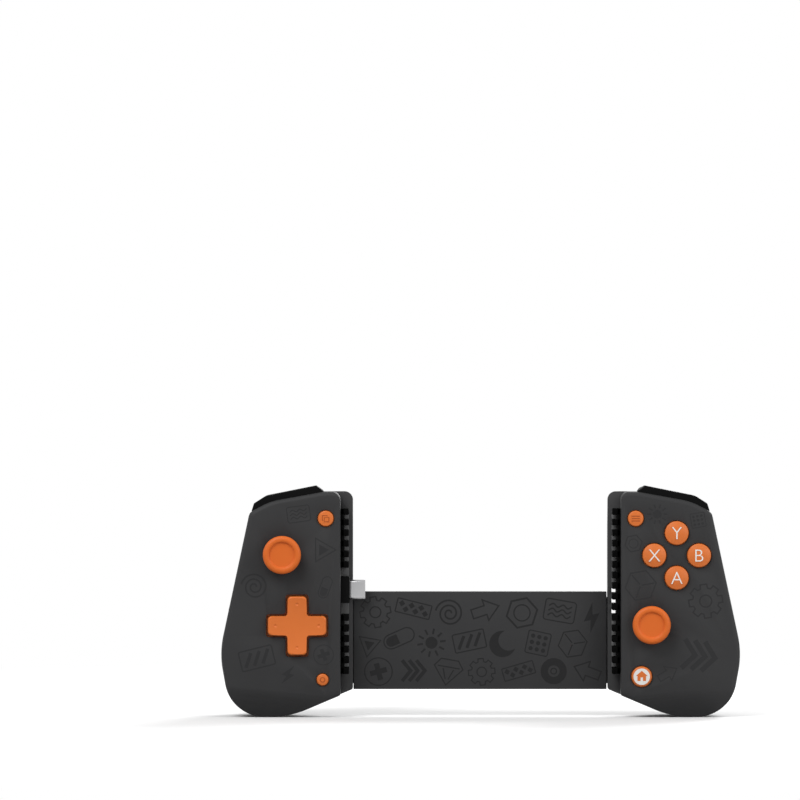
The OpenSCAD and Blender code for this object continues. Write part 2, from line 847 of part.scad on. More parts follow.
module rail_plate() {
    edge_middle = rail_half - rail_edge_width / 2 + cut / 2;
    edge_half = rail_edge_width / 2 + cut / 2;
    floor_y = rail_back - rail_step;
    root = wing_edge - 0.1;
    color(cover_grey)
        difference() {
            block([-rail_end, tray_back, -rail_half], [root, rail_back, rail_half]);
            for (row = [-1, 1])
                block(
                    [-rail_end - cut, floor_y, row * edge_middle - edge_half],
                    [root + cut, rail_back + cut, row * edge_middle + edge_half]
                );
            intersection() {
                bar(
                    [
                        [rail_back + cut, rail_channel[1]], [rail_back - 0.2, rail_channel[1]],
                        [floor_y, rail_channel[0] - 0.3],
                        [rail_back, rail_channel[0]], [rail_back + cut, rail_channel[0]]
                    ],
                    -rail_end - cut, root
                );
                slab(
                    [
                        [-rail_end - 2 * cut, -rail_half],
                        [root - 6, -rail_half], [root - 6, rail_channel[1]],
                        [root - 2, rail_channel[0]], [root - 2, rail_half],
                        [-rail_end - 2 * cut, rail_half]
                    ],
                    tray_back, rail_back + 2 * cut
                );
            }
            for (at = rail_screw_places) {
                rod_y(at, rail_screw_shank + pin_gap, tray_back - cut, rail_back + cut);
                rod_y(at, rail_screw_head + 0.1, rail_back - rail_screw_head_depth, rail_back + cut);
            }
        }
}

// Cross recess in a screw's head
module cross_recess(at, span, from_y, to_y) {
    width = span / 4;
    block([at[0] - span / 2, from_y, at[1] - width / 2], [at[0] + span / 2, to_y, at[1] + width / 2]);
    block([at[0] - width / 2, from_y, at[1] - span / 2], [at[0] + width / 2, to_y, at[1] + span / 2]);
}

module rail_screws() {
    color(steel)
        for (at = rail_screw_places)
            difference() {
                union() {
                    rod_y(at, rail_screw_head, rail_back - rail_screw_head_depth, rail_back);
                    rod_y(at, rail_screw_shank, tray_floor + 0.4, rail_back - 0.4);
                }
                cross_recess(at, rail_screw_head * 1.2, rail_back - 0.5, rail_back + cut);
            }
}

module return_spring() {
    reach = spring_post - spring_post_radius - 0.2;
    path = coil(spring_radius, spring_curls, -reach, reach, spring_line, 0);
    echo(str("return spring, least gap to itself in mm: ", 2 * reach / spring_curls - 2 * spring_wire));
    color(steel) wire(path, spring_wire, [1, 0, 0]);
}

cable_left = rail_end + 5;
cable_right = cavity_x + 5.4;
cable_low = -9.5;
cable_high = -5.5;
cable_thick = 0.3;
connector_back = board_back + 2;

module flex_cable() {
    back = tray_back - seat_gap;
    color([0.6, 0.35, 0.1]) {
        block([-cable_left, back - cable_thick, cable_low], [cable_right, back, cable_high]);
        block([-cable_left, connector_back, cable_low], [-cable_left + cable_thick, back, cable_high]);
        block([cable_right - cable_thick, connector_back, cable_low], [cable_right, back, cable_high]);
    }
}

// Boards, keypads and screws

module board(connector_at) {
    difference() {
        slab(face_outline(shell_wall + 0.8), board_front, board_back);
        shoulder() block([-60, -10, stem_floor + 1], [60, 10, 40]);
        for (at = case_screw_places)
            rod_y(at, case_screw_radius + 0.2, -cut, board_back + cut);
    }
    block([connector_at - 2, board_front, cable_low - 1], [connector_at + 2, connector_back, cable_high + 1]);
}

module right_board() {
    color(board_green) board(cable_right);
}

module left_board() {
    color(board_green) on_side(LEFT) board(cable_left);
}

dome_height = 3;
dome_top = -board_front + dome_height;
sheet_height = 1;

// Soft dome under a button, in its pressed height
module key_dome(at, radius) {
    rod_y(at, radius, -dome_top, board_front);
}

module right_keypads() {
    middle = place(action_at);
    color(frame_white) {
        for (at = action_places) {
            key_dome(at, 3);
            rod_y(at, 4.4, board_front - sheet_height, board_front);
        }
        for (turn = [0, 90])
            translate([middle[0], 0, middle[1]]) rotate([0, turn, 0])
                block([-action_spread, board_front - sheet_height, -2], [action_spread, board_front, 2]);
        key_dome(place(option_at), 2.2);
        key_dome(place(home_at), 2.6);
    }
}

dpad_peg = 9;

module left_keypads() {
    middle = place(dpad_at);
    color(frame_white)
        on_side(LEFT) {
            difference() {
                union() {
                    rod_y(middle, dpad_peg + 3.4, board_front - sheet_height, board_front);
                    for (turn = [0 : 90 : 270])
                        key_dome(middle + dpad_peg * [cos(turn), sin(turn)], 2.6);
                }
                rod_y(middle, dpad_post_radius + 0.3, board_front - sheet_height - cut, board_front + cut);
            }
            key_dome(place(option_at), 2.2);
            key_dome(place(mode_at), 1.8);
        }
}

module case_screws() {
    for (at = case_screw_places)
        difference() {
            union() {
                rod_y(at, case_screw_head, case_screw_seat, case_screw_seat + 1.6);
                rod_y(at, case_screw_radius, inner_y + 4, case_screw_seat + 0.5);
            }
            cross_recess(at, case_screw_head * 1.2, case_screw_seat + 0.8, case_screw_seat + 2);
        }
}

module right_case_screws() {
    color(steel) case_screws();
}

module left_case_screws() {
    color(steel) on_side(LEFT) case_screws();
}

// Buttons: height is counted from the parting plane towards the player

module button(at, radius, proud, travel, stem_radius) {
    foot = dome_top + travel + 0.2;
    flange = radius + 0.8;
    flange_top = -inner_y - 0.08;
    crest = face_depth + proud;
    turned(at, 0, [
        [0, foot], [stem_radius, foot], [stem_radius, flange_top - 0.9], [flange, flange_top - 0.9],
        [flange, flange_top], [radius, flange_top], [radius, crest - 0.8], [radius - 0.15, crest - 0.5],
        [radius - 0.45, crest - 0.25], [radius - 0.9, crest - 0.12], [radius / 2, crest - 0.03], [0, crest]
    ]);
}

module action_button(index) {
    color(button_orange) button(action_places[index], action_radius, action_proud, action_travel, 2.6);
}

module b_button() { action_button(0); }
module y_button() { action_button(1); }
module x_button() { action_button(2); }
module a_button() { action_button(3); }

module menu_button() {
    color(button_orange) button(place(option_at), option_radius, option_proud, option_travel, 1.8);
}

module home_button() {
    color(button_orange) button(place(home_at), home_radius, option_proud, option_travel, 2);
}

module view_button() {
    color(button_orange)
        on_side(LEFT) button(place(option_at), option_radius, option_proud, option_travel, 1.8);
}

module mode_button() {
    color(button_orange) on_side(LEFT) button(place(mode_at), mode_radius, option_proud, option_travel, 1.5);
}

// Direction pad, drawn about its pivot: height is counted towards the player

dpad_pivot_y = face_y + dpad_pivot_depth;
dpad_post_radius = 4.2;
dpad_pin_radius = 0.7;
dpad_pin_half = 3.5;
dpad_ear_from = 2.2;
dpad_ear_to = 3.6;
dpad_ear_middle = (dpad_ear_from + dpad_ear_to) / 2;
dpad_ear_thick = (dpad_ear_to - dpad_ear_from) / 2;
dpad_ear_half = 1.3;
bore_half = dpad_ear_to + cut;

// Cross-shaped outline, grown by a margin
function dpad_cross(margin) =
    let (a = dpad_arm / 2 + margin, b = dpad_span / 2 + margin, r = 1.3, n = 0.5, c = place(dpad_at))
    [for (p = rounded([
        [-a, -b, r], [a, -b, r], [a, -a, n], [b, -a, r], [b, a, r], [a, a, n],
        [a, b, r], [-a, b, r], [-a, a, n], [-b, a, r], [-b, -a, r], [-a, -a, n]
    ], 4)) p + c];

module dpad() {
    at = place(dpad_at);
    flange_back = dpad_pivot_y - 1.5;
    flange_front = dpad_pivot_y - 2.3;
    color(button_orange)
        on_side(LEFT)
            difference() {
                union() {
                    slab(dpad_cross(0), face_y - dpad_proud, flange_back);
                    slab(dpad_cross(0.9), flange_front, flange_back);
                    for (end = [-1, 1])
                        translate([at[0], dpad_pivot_y, at[1] + end * dpad_ear_middle])
                            block(
                                [-dpad_ear_half, -1.9, -dpad_ear_thick],
                                [dpad_ear_half, 1.1, dpad_ear_thick]
                            );
                    for (turn = [0 : 90 : 270])
                        rod_y(at + dpad_peg * [cos(turn), sin(turn)], 1.5, flange_front, -dome_top - 1.2);
                    for (turn = [0 : 90 : 270])
                        rod_y(
                            at + dpad_peg * [cos(turn), sin(turn)],
                            0.6, face_y - dpad_proud - 0.25, face_y
                        );
                }
                rod_z(at[0], dpad_pivot_y, dpad_pin_radius + pin_gap, at[1] - bore_half, at[1] + bore_half);
            }
}

module dpad_pivot() {
    at = place(dpad_at);
    color(steel)
        on_side(LEFT) {
            rod_x(dpad_pivot_y, at[1], dpad_pin_radius, at[0] - dpad_pin_half, at[0] + dpad_pin_half);
            rod_z(at[0], dpad_pivot_y, dpad_pin_radius, at[1] - dpad_pin_half, at[1] + dpad_pin_half);
        }
}

module dpad_post() {
    at = place(dpad_at);
    color(frame_white)
        on_side(LEFT)
            difference() {
                union() {
                    rod_y(at, dpad_post_radius, dpad_pivot_y + 2.2, board_front);
                    for (end = [-1, 1])
                        translate([at[0] + end * dpad_ear_middle, dpad_pivot_y, at[1]])
                            block(
                                [-dpad_ear_thick, -0.95, -dpad_ear_half],
                                [dpad_ear_thick, 3, dpad_ear_half]
                            );
                }
                rod_x(dpad_pivot_y, at[1], dpad_pin_radius + pin_gap, at[0] - bore_half, at[0] + bore_half);
            }
}

// Sticks, drawn about their pivot with the player's side up; turned into place by stick_frame

module stick_frame(at) {
    translate([at[0], face_y + stick_pivot_depth, at[1]]) rotate([90, 0, 0]) children();
}

stick_base_half = 8.5;
stick_head_half = 5.75;
stick_well_half = 4.2;
gimbal_half = 3.7;
gimbal_thick = 1;
gimbal_hole = [2.6, 2.3];
stick_pin_radius = 0.8;
pivot_half = 1.9;
pivot_thick = 1.5;
shaft_radius = 0.9;
shaft_head_radius = 2;
shaft_head_from = 2.4;
shaft_head_to = 10.5;
stick_click = 0.5;

module stick_base() {
    floor_h = -stick_pivot_depth + face_depth - board_setback;
    difference() {
        union() {
            block([-stick_base_half, -stick_base_half, -floor_h], [stick_base_half, stick_base_half, -0.6]);
            block([-stick_head_half, -stick_head_half, -1], [stick_head_half, stick_head_half, 1.6]);
        }
        block([-stick_well_half, -stick_well_half, -3.6], [stick_well_half, stick_well_half, 1.6 + cut]);
        rod_x(0, 0, stick_pin_radius + pin_gap, -stick_base_half - cut, stick_base_half + cut);
    }
}

module stick_gimbal() {
    difference() {
        union() {
            block([-gimbal_half, -gimbal_half, -gimbal_thick], [gimbal_half, gimbal_half, gimbal_thick]);
            for (end = [-1, 1])
                rod_x(0, 0, stick_pin_radius, min(end * 3, end * 5.7), max(end * 3, end * 5.7));
        }
        block([-gimbal_hole[0], -gimbal_hole[1], -2], [gimbal_hole[0], gimbal_hole[1], 2]);
        translate([0, gimbal_half + cut, 0]) rotate([90, 0, 0])
            cylinder(r = stick_pin_radius + pin_gap, h = 2 * gimbal_half + 2 * cut);
    }
}

module stick_pivot() {
    difference() {
        union() {
            block([-pivot_half, -pivot_half, -pivot_thick], [pivot_half, pivot_half, pivot_thick]);
            translate([0, gimbal_half - 0.2, 0]) rotate([90, 0, 0])
                cylinder(r = stick_pin_radius, h = 2 * gimbal_half - 0.4);
        }
        translate([0, 0, -3]) cylinder(r = shaft_radius + pin_gap, h = 6);
    }
}

module stick_shaft() {
    translate([0, 0, -shaft_head_from]) cylinder(r = shaft_radius, h = 2 * shaft_head_from + 0.5);
    translate([0, 0, shaft_head_from]) cylinder(r = shaft_head_radius, h = shaft_head_to - shaft_head_from);
}

module stick_cap() {
    skirt_inner = skirt_radius - 1.2;
    skirt_end = 67;
    boss = 3.6;
    neck = 4.4;
    boss_turn = asin(boss / skirt_inner);
    neck_turn = asin(neck / skirt_radius);
    bore = shaft_head_radius + 0.02;
    rotate_extrude() polygon(concat(
        [[0, shaft_head_to + 0.1], [bore, shaft_head_to + 0.1], [bore, 6.5], [boss, 6.5]],
        [for (i = [0 : 6])
            let (a = boss_turn + (skirt_end - boss_turn) * i / 6) skirt_inner * [sin(a), cos(a)]],
        [for (i = [6 : -1 : 0])
            let (a = neck_turn + (skirt_end - neck_turn) * i / 6) skirt_radius * [sin(a), cos(a)]],
        [
            [neck, 10.2], [stick_radius - 0.6, 11], [stick_radius - 0.1, 11.5], [stick_radius, 12.1],
            [stick_radius - 0.1, 12.9], [stick_radius - 0.5, 13.5], [stick_radius - 1.1, 13.75],
            [stick_radius - 1.8, 13.6], [stick_radius - 2.6, 13.1], [stick_radius - 3.6, 12.85], [0, 12.7]
        ]
    ));
}

module right_stick_base() { color(frame_white) stick_frame(place(right_stick_at)) stick_base(); }
module right_stick_gimbal() { color(steel) stick_frame(place(right_stick_at)) stick_gimbal(); }
module right_stick_pivot() { color(frame_white) stick_frame(place(right_stick_at)) stick_pivot(); }
module right_stick_shaft() { color(steel) stick_frame(place(right_stick_at)) stick_shaft(); }
module right_stick_cap() { color(button_orange) stick_frame(place(right_stick_at)) stick_cap(); }
module left_stick_base() { color(frame_white) on_side(LEFT) stick_frame(place(left_stick_at)) stick_base(); }
module left_stick_gimbal() { color(steel) on_side(LEFT) stick_frame(place(left_stick_at)) stick_gimbal(); }
module left_stick_pivot() {
    color(frame_white) on_side(LEFT) stick_frame(place(left_stick_at)) stick_pivot();
}
module left_stick_shaft() { color(steel) on_side(LEFT) stick_frame(place(left_stick_at)) stick_shaft(); }
module left_stick_cap() { color(button_orange) on_side(LEFT) stick_frame(place(left_stick_at)) stick_cap(); }

// Shoulder keys

module bumper() {
    profile = [
        [-key_half, bumper_floor, 0.3], [key_half - 0.3, bumper_floor, 0.3], [key_half - 0.3, 0.3, 0.5],
        [key_half - 2.2, bumper_proud - 1.7, 1.2], [key_half / 2, bumper_proud - 0.3, 8],
        [-key_half / 5, bumper_proud, 12], [-key_half + 1.8, bumper_proud - 1.5, 1.2], [-key_half, 0.3, 0.5]
    ];
    shoulder() {
        slab(rounded(profile, 5), slot_front + bumper_gap, bumper_back);
        translate([stem_middle, 0, 0])
            block([-stem_half, stem_front, stem_floor], [stem_half, stem_back, bumper_floor + 0.5]);
    }
}

module bumper_switch() {
    shoulder() {
        block(
            [stem_middle - 2.8, -5.2, switch_top - 0.5 - switch_height],
            [stem_middle + 2.8, board_front, switch_top - 0.5]
        );
        rod_z(stem_middle, -3.5, 1.2, switch_top - 0.6, switch_top);
    }
}

// Trigger: blade with a flared lip, on two lugs that turn on the pin
module trigger() {
    back = trigger_reach;
    t = trigger_blade;
    blade = [
        [trigger_front, 2.9], [trigger_pin_back + 4, 4.2 - t], [back - 7, 2.9 - t], [back - 4, 2.8 - t],
        [back - 1, 3.9 - t], [back + 0.3, 4.5], [back, 5.1], [back - 1.1, 4.1],
        [back - 4, 2.8], [back - 7, 2.9], [trigger_pin_back + 4, 4.2], [trigger_front, 4.9]
    ];
    face = [
        [-key_half - 0.7, -9, 0.3], [key_half - 2, -9, 0.3], [key_half - 2, 1.4, 0.5],
        [key_half - 2.9, bumper_proud - 1.2, 1], [key_half / 2, bumper_proud + 0.3, 8],
        [-key_half / 5, bumper_proud + 0.6, 12], [-key_half + 1.4, bumper_proud - 1, 1.2],
        [-key_half - 0.7, 0.8, 0.5]
    ];
    shoulder()
        difference() {
            union() {
                intersection() {
                    bar(blade, -key_half - 2, key_half + 2);
                    slab(rounded(face, 5), -cut, trigger_reach + 2);
                }
                for (end = [-1, 1]) {
                    low = min(end * trigger_lug_inner, end * (trigger_lug_outer - 0.3));
                    high = max(end * trigger_lug_inner, end * (trigger_lug_outer - 0.3));
                    block(
                        [low, trigger_pin_back - trigger_barrel, -trigger_pin_depth],
                        [high, trigger_pin_back + trigger_barrel - 0.2, 2.6]
                    );
                    rod_x(trigger_pin_back, -trigger_pin_depth, trigger_barrel, low, high);
                }
            }
            trigger_bore(trigger_pin_radius + pin_gap);
        }
}

module trigger_pin() {
    shoulder()
        rod_x(trigger_pin_back, -trigger_pin_depth, trigger_pin_radius, -key_half + 0.3, key_half - 0.3);
}

module trigger_spring() {
    shoulder()
        wire(
            coil(trigger_pin_radius + 0.6, 4, -3.5, 3.5, trigger_pin_back, -trigger_pin_depth),
            0.3, [1, 0, 0]
        );
}

module right_bumper() { color(key_black) bumper(); }
module left_bumper() { color(key_black) on_side(LEFT) bumper(); }
module right_bumper_switch() { color(key_black) bumper_switch(); }
module left_bumper_switch() { color(key_black) on_side(LEFT) bumper_switch(); }
module right_trigger() { color(key_black) trigger(); }
module left_trigger() { color(key_black) on_side(LEFT) trigger(); }
module right_trigger_pin() { color(steel) trigger_pin(); }
module left_trigger_pin() { color(steel) on_side(LEFT) trigger_pin(); }
module right_trigger_spring() { color(steel) trigger_spring(); }
module left_trigger_spring() { color(steel) on_side(LEFT) trigger_spring(); }

right_front_shell();
right_rear_shell();
right_pad();
right_board();
right_keypads();
right_bumper_switch();
right_case_screws();
rail_tray();
rail_plate();
rail_screws();
right_stick_base();
right_stick_gimbal();
right_stick_pivot();
right_stick_shaft();
right_stick_cap();
a_button();
b_button();
x_button();
y_button();
menu_button();
home_button();
right_bumper();
right_trigger();
right_trigger_pin();
right_trigger_spring();
left_front_shell();
left_rear_shell();
left_pads();
left_board();
left_keypads();
left_bumper_switch();
left_case_screws();
usb_plug();
usb_plug_base();
bridge_plate();
bridge_cover();
left_stick_base();
left_stick_gimbal();
left_stick_pivot();
left_stick_shaft();
left_stick_cap();
dpad();
dpad_pivot();
dpad_post();
view_button();
mode_button();
left_bumper();
left_trigger();
left_trigger_pin();
left_trigger_spring();
return_spring();
flex_cable();
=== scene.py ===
import math

import bmesh
import bpy
import numpy as np
from mathutils import Matrix, Vector
from mathutils.bvhtree import BVHTree


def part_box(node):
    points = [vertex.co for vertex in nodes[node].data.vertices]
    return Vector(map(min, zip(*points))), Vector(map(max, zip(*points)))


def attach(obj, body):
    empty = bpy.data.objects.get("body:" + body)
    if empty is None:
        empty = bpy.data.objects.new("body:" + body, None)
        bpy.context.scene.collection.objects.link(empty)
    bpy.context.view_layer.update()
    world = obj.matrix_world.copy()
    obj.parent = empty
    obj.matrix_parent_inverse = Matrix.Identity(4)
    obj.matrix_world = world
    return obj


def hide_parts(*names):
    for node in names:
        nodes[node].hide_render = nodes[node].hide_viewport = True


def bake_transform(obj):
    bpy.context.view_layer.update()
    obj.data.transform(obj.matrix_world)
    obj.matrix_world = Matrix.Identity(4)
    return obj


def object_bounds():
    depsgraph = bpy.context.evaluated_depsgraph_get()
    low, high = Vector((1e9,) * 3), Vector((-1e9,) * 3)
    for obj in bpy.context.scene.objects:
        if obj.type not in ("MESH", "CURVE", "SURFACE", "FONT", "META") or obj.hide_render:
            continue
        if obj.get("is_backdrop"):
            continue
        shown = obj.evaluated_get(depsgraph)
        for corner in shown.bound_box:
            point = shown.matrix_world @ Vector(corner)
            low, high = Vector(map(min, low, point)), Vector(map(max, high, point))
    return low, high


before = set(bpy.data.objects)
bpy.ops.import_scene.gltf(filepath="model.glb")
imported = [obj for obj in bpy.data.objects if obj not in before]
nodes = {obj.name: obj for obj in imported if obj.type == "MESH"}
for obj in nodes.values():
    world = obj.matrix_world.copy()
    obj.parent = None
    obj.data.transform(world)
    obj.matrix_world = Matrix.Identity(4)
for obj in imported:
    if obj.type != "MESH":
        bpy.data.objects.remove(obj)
cad_low, cad_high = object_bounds()
scene = bpy.context.scene

# Front shells
# The two faceplates with their side walls and the walls that the phone's ends lean on, moulded in dark
# satin plastic. Each is screwed to its rear shell from behind and holds the openings of its controls.
mm = 0.001
RIGHT, LEFT = 1, -1
side_names = {RIGHT: "right", LEFT: "left"}
seat_wall, face_front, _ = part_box("right_front_shell")[0]
grip_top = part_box("right_front_shell")[1].z
wing_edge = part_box("right_rear_shell")[0].x
bridge_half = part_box("bridge_plate")[1].z
shell_wall = 1.8 * mm
face_inside = face_front + shell_wall
face_round, seat_round, outline_gap = 2 * mm, 0.35 * mm, 0.08 * mm
sweep_end = (wing_edge + 27.1 * mm, -bridge_half - 11.4 * mm, 40 * mm)
lobe = (wing_edge + 51.3 * mm, sweep_end[1], 17 * mm)
side_bend = (wing_edge + 56.1 * mm, -4.7 * mm, 38 * mm)
outer_top = (wing_edge + 43.5 * mm, grip_top - 8.6 * mm, 4 * mm)
shoulder_bend = (wing_edge + 34.8 * mm, grip_top - 4 * mm, 25 * mm)
shoulder_start = (wing_edge + 12.7 * mm, grip_top, 18 * mm)
sweep_slope = (-bridge_half - sweep_end[1]) / (sweep_end[0] - wing_edge)
crease_height, crease_middle = -bridge_half - 1.2 * mm, wing_edge + 22 * mm
crease_slope, crease_round = math.tan(math.radians(5)), 6 * mm
face_fall, fall_start = 4 * mm, 0.68
key_half, key_shift = 15.8 * mm, 0.5 * mm
key_slot_low, key_slot_high = -6 * mm, 8 * mm
button_gap, button_flange = 0.25 * mm, 0.8 * mm


def middle(node):
    low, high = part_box(node)
    return (low + high) / 2


def unit(v):
    return v / np.linalg.norm(v)


def smooth_step(s):
    c = np.clip(s, 0, 1)
    return c * c * (3 - 2 * c)


def corner_arc(before, corner, after, radius, steps):
    a, b = unit(before - corner), unit(after - corner)
    half = math.acos(max(-1, min(1, a @ b))) / 2
    centre = corner + unit(a + b) * radius / math.sin(half)
    first = corner + a * radius / math.tan(half) - centre
    last = corner + b * radius / math.tan(half) - centre
    turn = math.pi - 2 * half
    shares = [i / steps for i in range(steps + 1)]
    return [
        centre + (first * math.sin((1 - s) * turn) + last * math.sin(s * turn)) / math.sin(turn)
        for s in shares
    ]


def rounded_corner(corners, i, steps):
    before, here, after = (np.array(corners[j % len(corners)][:2]) for j in (i - 1, i, i + 1))
    return corner_arc(before, here, after, corners[i][2], steps)


def rounded(corners, steps):
    return [p for i in range(len(corners)) for p in rounded_corner(corners, i, steps)]


def inset(corners, margin):
    moved = []
    for i, corner in enumerate(corners):
        before, here, after = (np.array(corners[j % len(corners)][:2]) for j in (i - 1, i, i + 1))
        run_in, run_out = unit(here - before), unit(after - here)
        left_in, left_out = np.array([-run_in[1], run_in[0]]), np.array([-run_out[1], run_out[0]])
        spot = here + (left_in + left_out) * margin / (1 + left_in @ left_out)
        moved.append((spot[0], spot[1], max(corner[2] - margin, 0.4 * mm)))
    return moved


def grip_corners(edge):
    foot = (edge, -bridge_half - sweep_slope * (edge - wing_edge), 1.2 * mm)
    top = (edge, grip_top, 3.6 * mm)
    return [foot, sweep_end, lobe, side_bend, outer_top, shoulder_bend, shoulder_start, top]


def new_piece(name, points, faces, edges=()):
    mesh = bpy.data.meshes.new(name)
    mesh.from_pydata([tuple(float(c) for c in p) for p in points], edges, faces)
    solid = bmesh.new()
    solid.from_mesh(mesh)
    bmesh.ops.recalc_face_normals(solid, faces=solid.faces)
    solid.to_mesh(mesh)
    solid.free()
    piece = bpy.data.objects.new(name, mesh)
    scene.collection.objects.link(piece)
    return piece


def skin(name, rings):
    count, last = len(rings[0]), len(rings) - 1
    faces = [list(range(count)), [last * count + i for i in range(count)]]
    for k in range(last):
        for i in range(count):
            a, b = k * count + i, k * count + (i + 1) % count
            faces.append((a, b, b + count, a + count))
    return new_piece(name, [p for ring in rings for p in ring], faces)


def level_ring(outline, y, side):
    return [(side * x, y, z) for x, z in outline]


def prism(name, outline, from_y, to_y, side=RIGHT):
    return skin(name, [level_ring(outline, from_y, side), level_ring(outline, to_y, side)])


def circle(centre, radius, count):
    turns = [2 * math.pi * i / count for i in range(count)]
    return [(centre[0] + radius * math.cos(t), centre[1] + radius * math.sin(t)) for t in turns]


def drum(name, centre, radius, from_y, to_y):
    return prism(name, circle((centre[0], centre[1]), radius, 96), from_y, to_y)


def block(name, low, high, place=tuple):
    (x0, y0, z0), (x1, y1, z1) = low, high
    rings = [[place(p) for p in ((x, y0, z0), (x, y1, z0), (x, y1, z1), (x, y0, z1))] for x in (x0, x1)]
    return skin(name, rings)


def ball(name, centre, radius):
    rings = []
    for k in range(1, 48):
        turn = math.pi * k / 48
        y = centre[1] - radius * math.cos(turn)
        rings.append(level_ring(circle((centre[0], centre[2]), radius * math.sin(turn), 128), y, RIGHT))
    return skin(name, rings)


def settle(piece):
    bpy.context.view_layer.update()
    old = piece.data
    evaluated = piece.evaluated_get(bpy.context.evaluated_depsgraph_get())
    mesh = bpy.data.meshes.new_from_object(evaluated)
    piece.modifiers.clear()
    piece.data = mesh
    mesh.name = piece.name
    bpy.data.meshes.remove(old)
    return piece


def cut(piece, *tools):
    for tool in tools:
        boolean = piece.modifiers.new("cut", "BOOLEAN")
        boolean.operation = "DIFFERENCE"
        boolean.solver = "EXACT"
        boolean.object = tool
        settle(piece)
        bpy.data.objects.remove(tool)
    return piece


def round_edges(piece, width, steps=2, limit=40):
    bevel = piece.modifiers.new("edges", "BEVEL")
    bevel.width = width
    bevel.segments = steps
    bevel.limit_method = "ANGLE"
    bevel.angle_limit = math.radians(limit)
    return settle(piece)


def smooth_faces(piece, angle=35):
    piece.data.shade_smooth()
    piece.data.set_sharp_from_angle(angle=math.radians(angle))
    return piece


def on_shoulder(side):
    slope = math.atan2(grip_top - outer_top[1], outer_top[0] - shoulder_start[0])
    base_x = (shoulder_start[0] + outer_top[0]) / 2
    base_z = (grip_top + outer_top[1]) / 2

    def place(p):
        u, v, w = p[0] - key_shift, p[1], p[2]
        x = base_x + u * math.cos(slope) + w * math.sin(slope)
        return (side * x, v, base_z - u * math.sin(slope) + w * math.cos(slope))

    return place


def bumper_slot(side):
    gap = 0.3 * mm
    low = (-key_half - gap, face_inside - gap, key_slot_low)
    high = (key_half + gap, 1.2 * mm, key_slot_high)
    return block("bumper_slot", low, high, on_shoulder(side))


def lower_fall(side, margin):
    def crease(x):
        return crease_height - margin / 3 + crease_slope * (x - crease_middle)

    beyond = side_bend[0] + 10 * mm
    start = np.array((beyond, crease(beyond)))
    corner = np.array((seat_wall - 0.2 * mm, crease(seat_wall)))
    end = corner + np.array((0, 12 * mm))
    path = [start, *corner_arc(start, corner, end, crease_round, 16), end]
    reach, clear_front = crease_height - lobe[1], face_front - 3 * mm
    rings = []
    for i, p in enumerate(path):
        run = unit(path[min(i + 1, len(path) - 1)] - path[max(i - 1, 0)])
        out = np.array([-run[1], run[0]])
        ring = [(side * p[0], clear_front, p[1])]
        for t in np.linspace(0, 1.6, 33):
            spot = p + out * reach * t
            drop = margin + face_fall * t * (fall_start + (1 - fall_start) * t)
            ring.append((side * spot[0], face_front + drop, spot[1]))
        ring.append((ring[-1][0], clear_front, ring[-1][2]))
        rings.append(ring)
    return skin("lower_fall", rings)


def face_outline(margin, seat_margin, steps):
    return rounded(inset(grip_corners(seat_wall + seat_margin - margin), margin), steps)


def front_shell(side):
    rings = []
    for turn in np.radians(np.linspace(90, 0, 9)):
        lean = 1 - math.cos(turn)
        outline = face_outline(outline_gap + face_round * lean, outline_gap + seat_round * lean, 20)
        rings.append(level_ring(outline, face_front + face_round * (1 - math.sin(turn)), side))
    rings.append(level_ring(face_outline(outline_gap, outline_gap, 20), 0, side))
    shell = skin(side_names[side] + "_faceplate", rings)
    hollow = prism("hollow", face_outline(shell_wall, shell_wall, 12), face_inside, mm, side)
    cut(hollow, lower_fall(side, shell_wall))
    return cut(shell, lower_fall(side, 0), hollow, bumper_slot(side))


def button_opening(node):
    low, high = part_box(node)
    radius = (high.x - low.x) / 2 - button_flange + button_gap
    at = middle(node)
    return drum("opening", (at.x, at.z), radius, face_front - mm, face_inside + mm)


stick_pivot_y = face_front + 7 * mm
skirt_opening = 10.35 * mm


def stick_opening(side):
    at = middle(side_names[side] + "_stick_cap")
    return ball("opening", (at.x, stick_pivot_y, at.z), skirt_opening)


dpad_middle = middle("dpad")
dpad_arm, dpad_span, dpad_corner = 8.1 * mm, 24.6 * mm, 1.7 * mm


def dpad_cross(margin, steps):
    a, b = dpad_arm / 2 + margin, dpad_span / 2 + margin
    r = dpad_corner - 0.4 * mm if margin > 0 else dpad_corner + max(margin, -mm)
    n = max(1.2 * mm - margin, mm)
    corners = [
        (-a, -b, r), (a, -b, r), (a, -a, n), (b, -a, r), (b, a, r), (a, a, n),
        (a, b, r), (-a, b, r), (-a, a, n), (-b, a, r), (-b, -a, r), (-a, -a, n),
    ]
    return [p + np.array((dpad_middle.x, dpad_middle.z)) for p in rounded(corners, steps)]


def connect(tree, node, **inputs):
    for label, value in inputs.items():
        socket = node.inputs[label.replace("_", " ")]
        if isinstance(value, bpy.types.NodeSocket):
            tree.links.new(value, socket)
        else:
            socket.default_value = value
    return node


def add_node(tree, kind, **inputs):
    return connect(tree, tree.nodes.new(kind), **inputs)


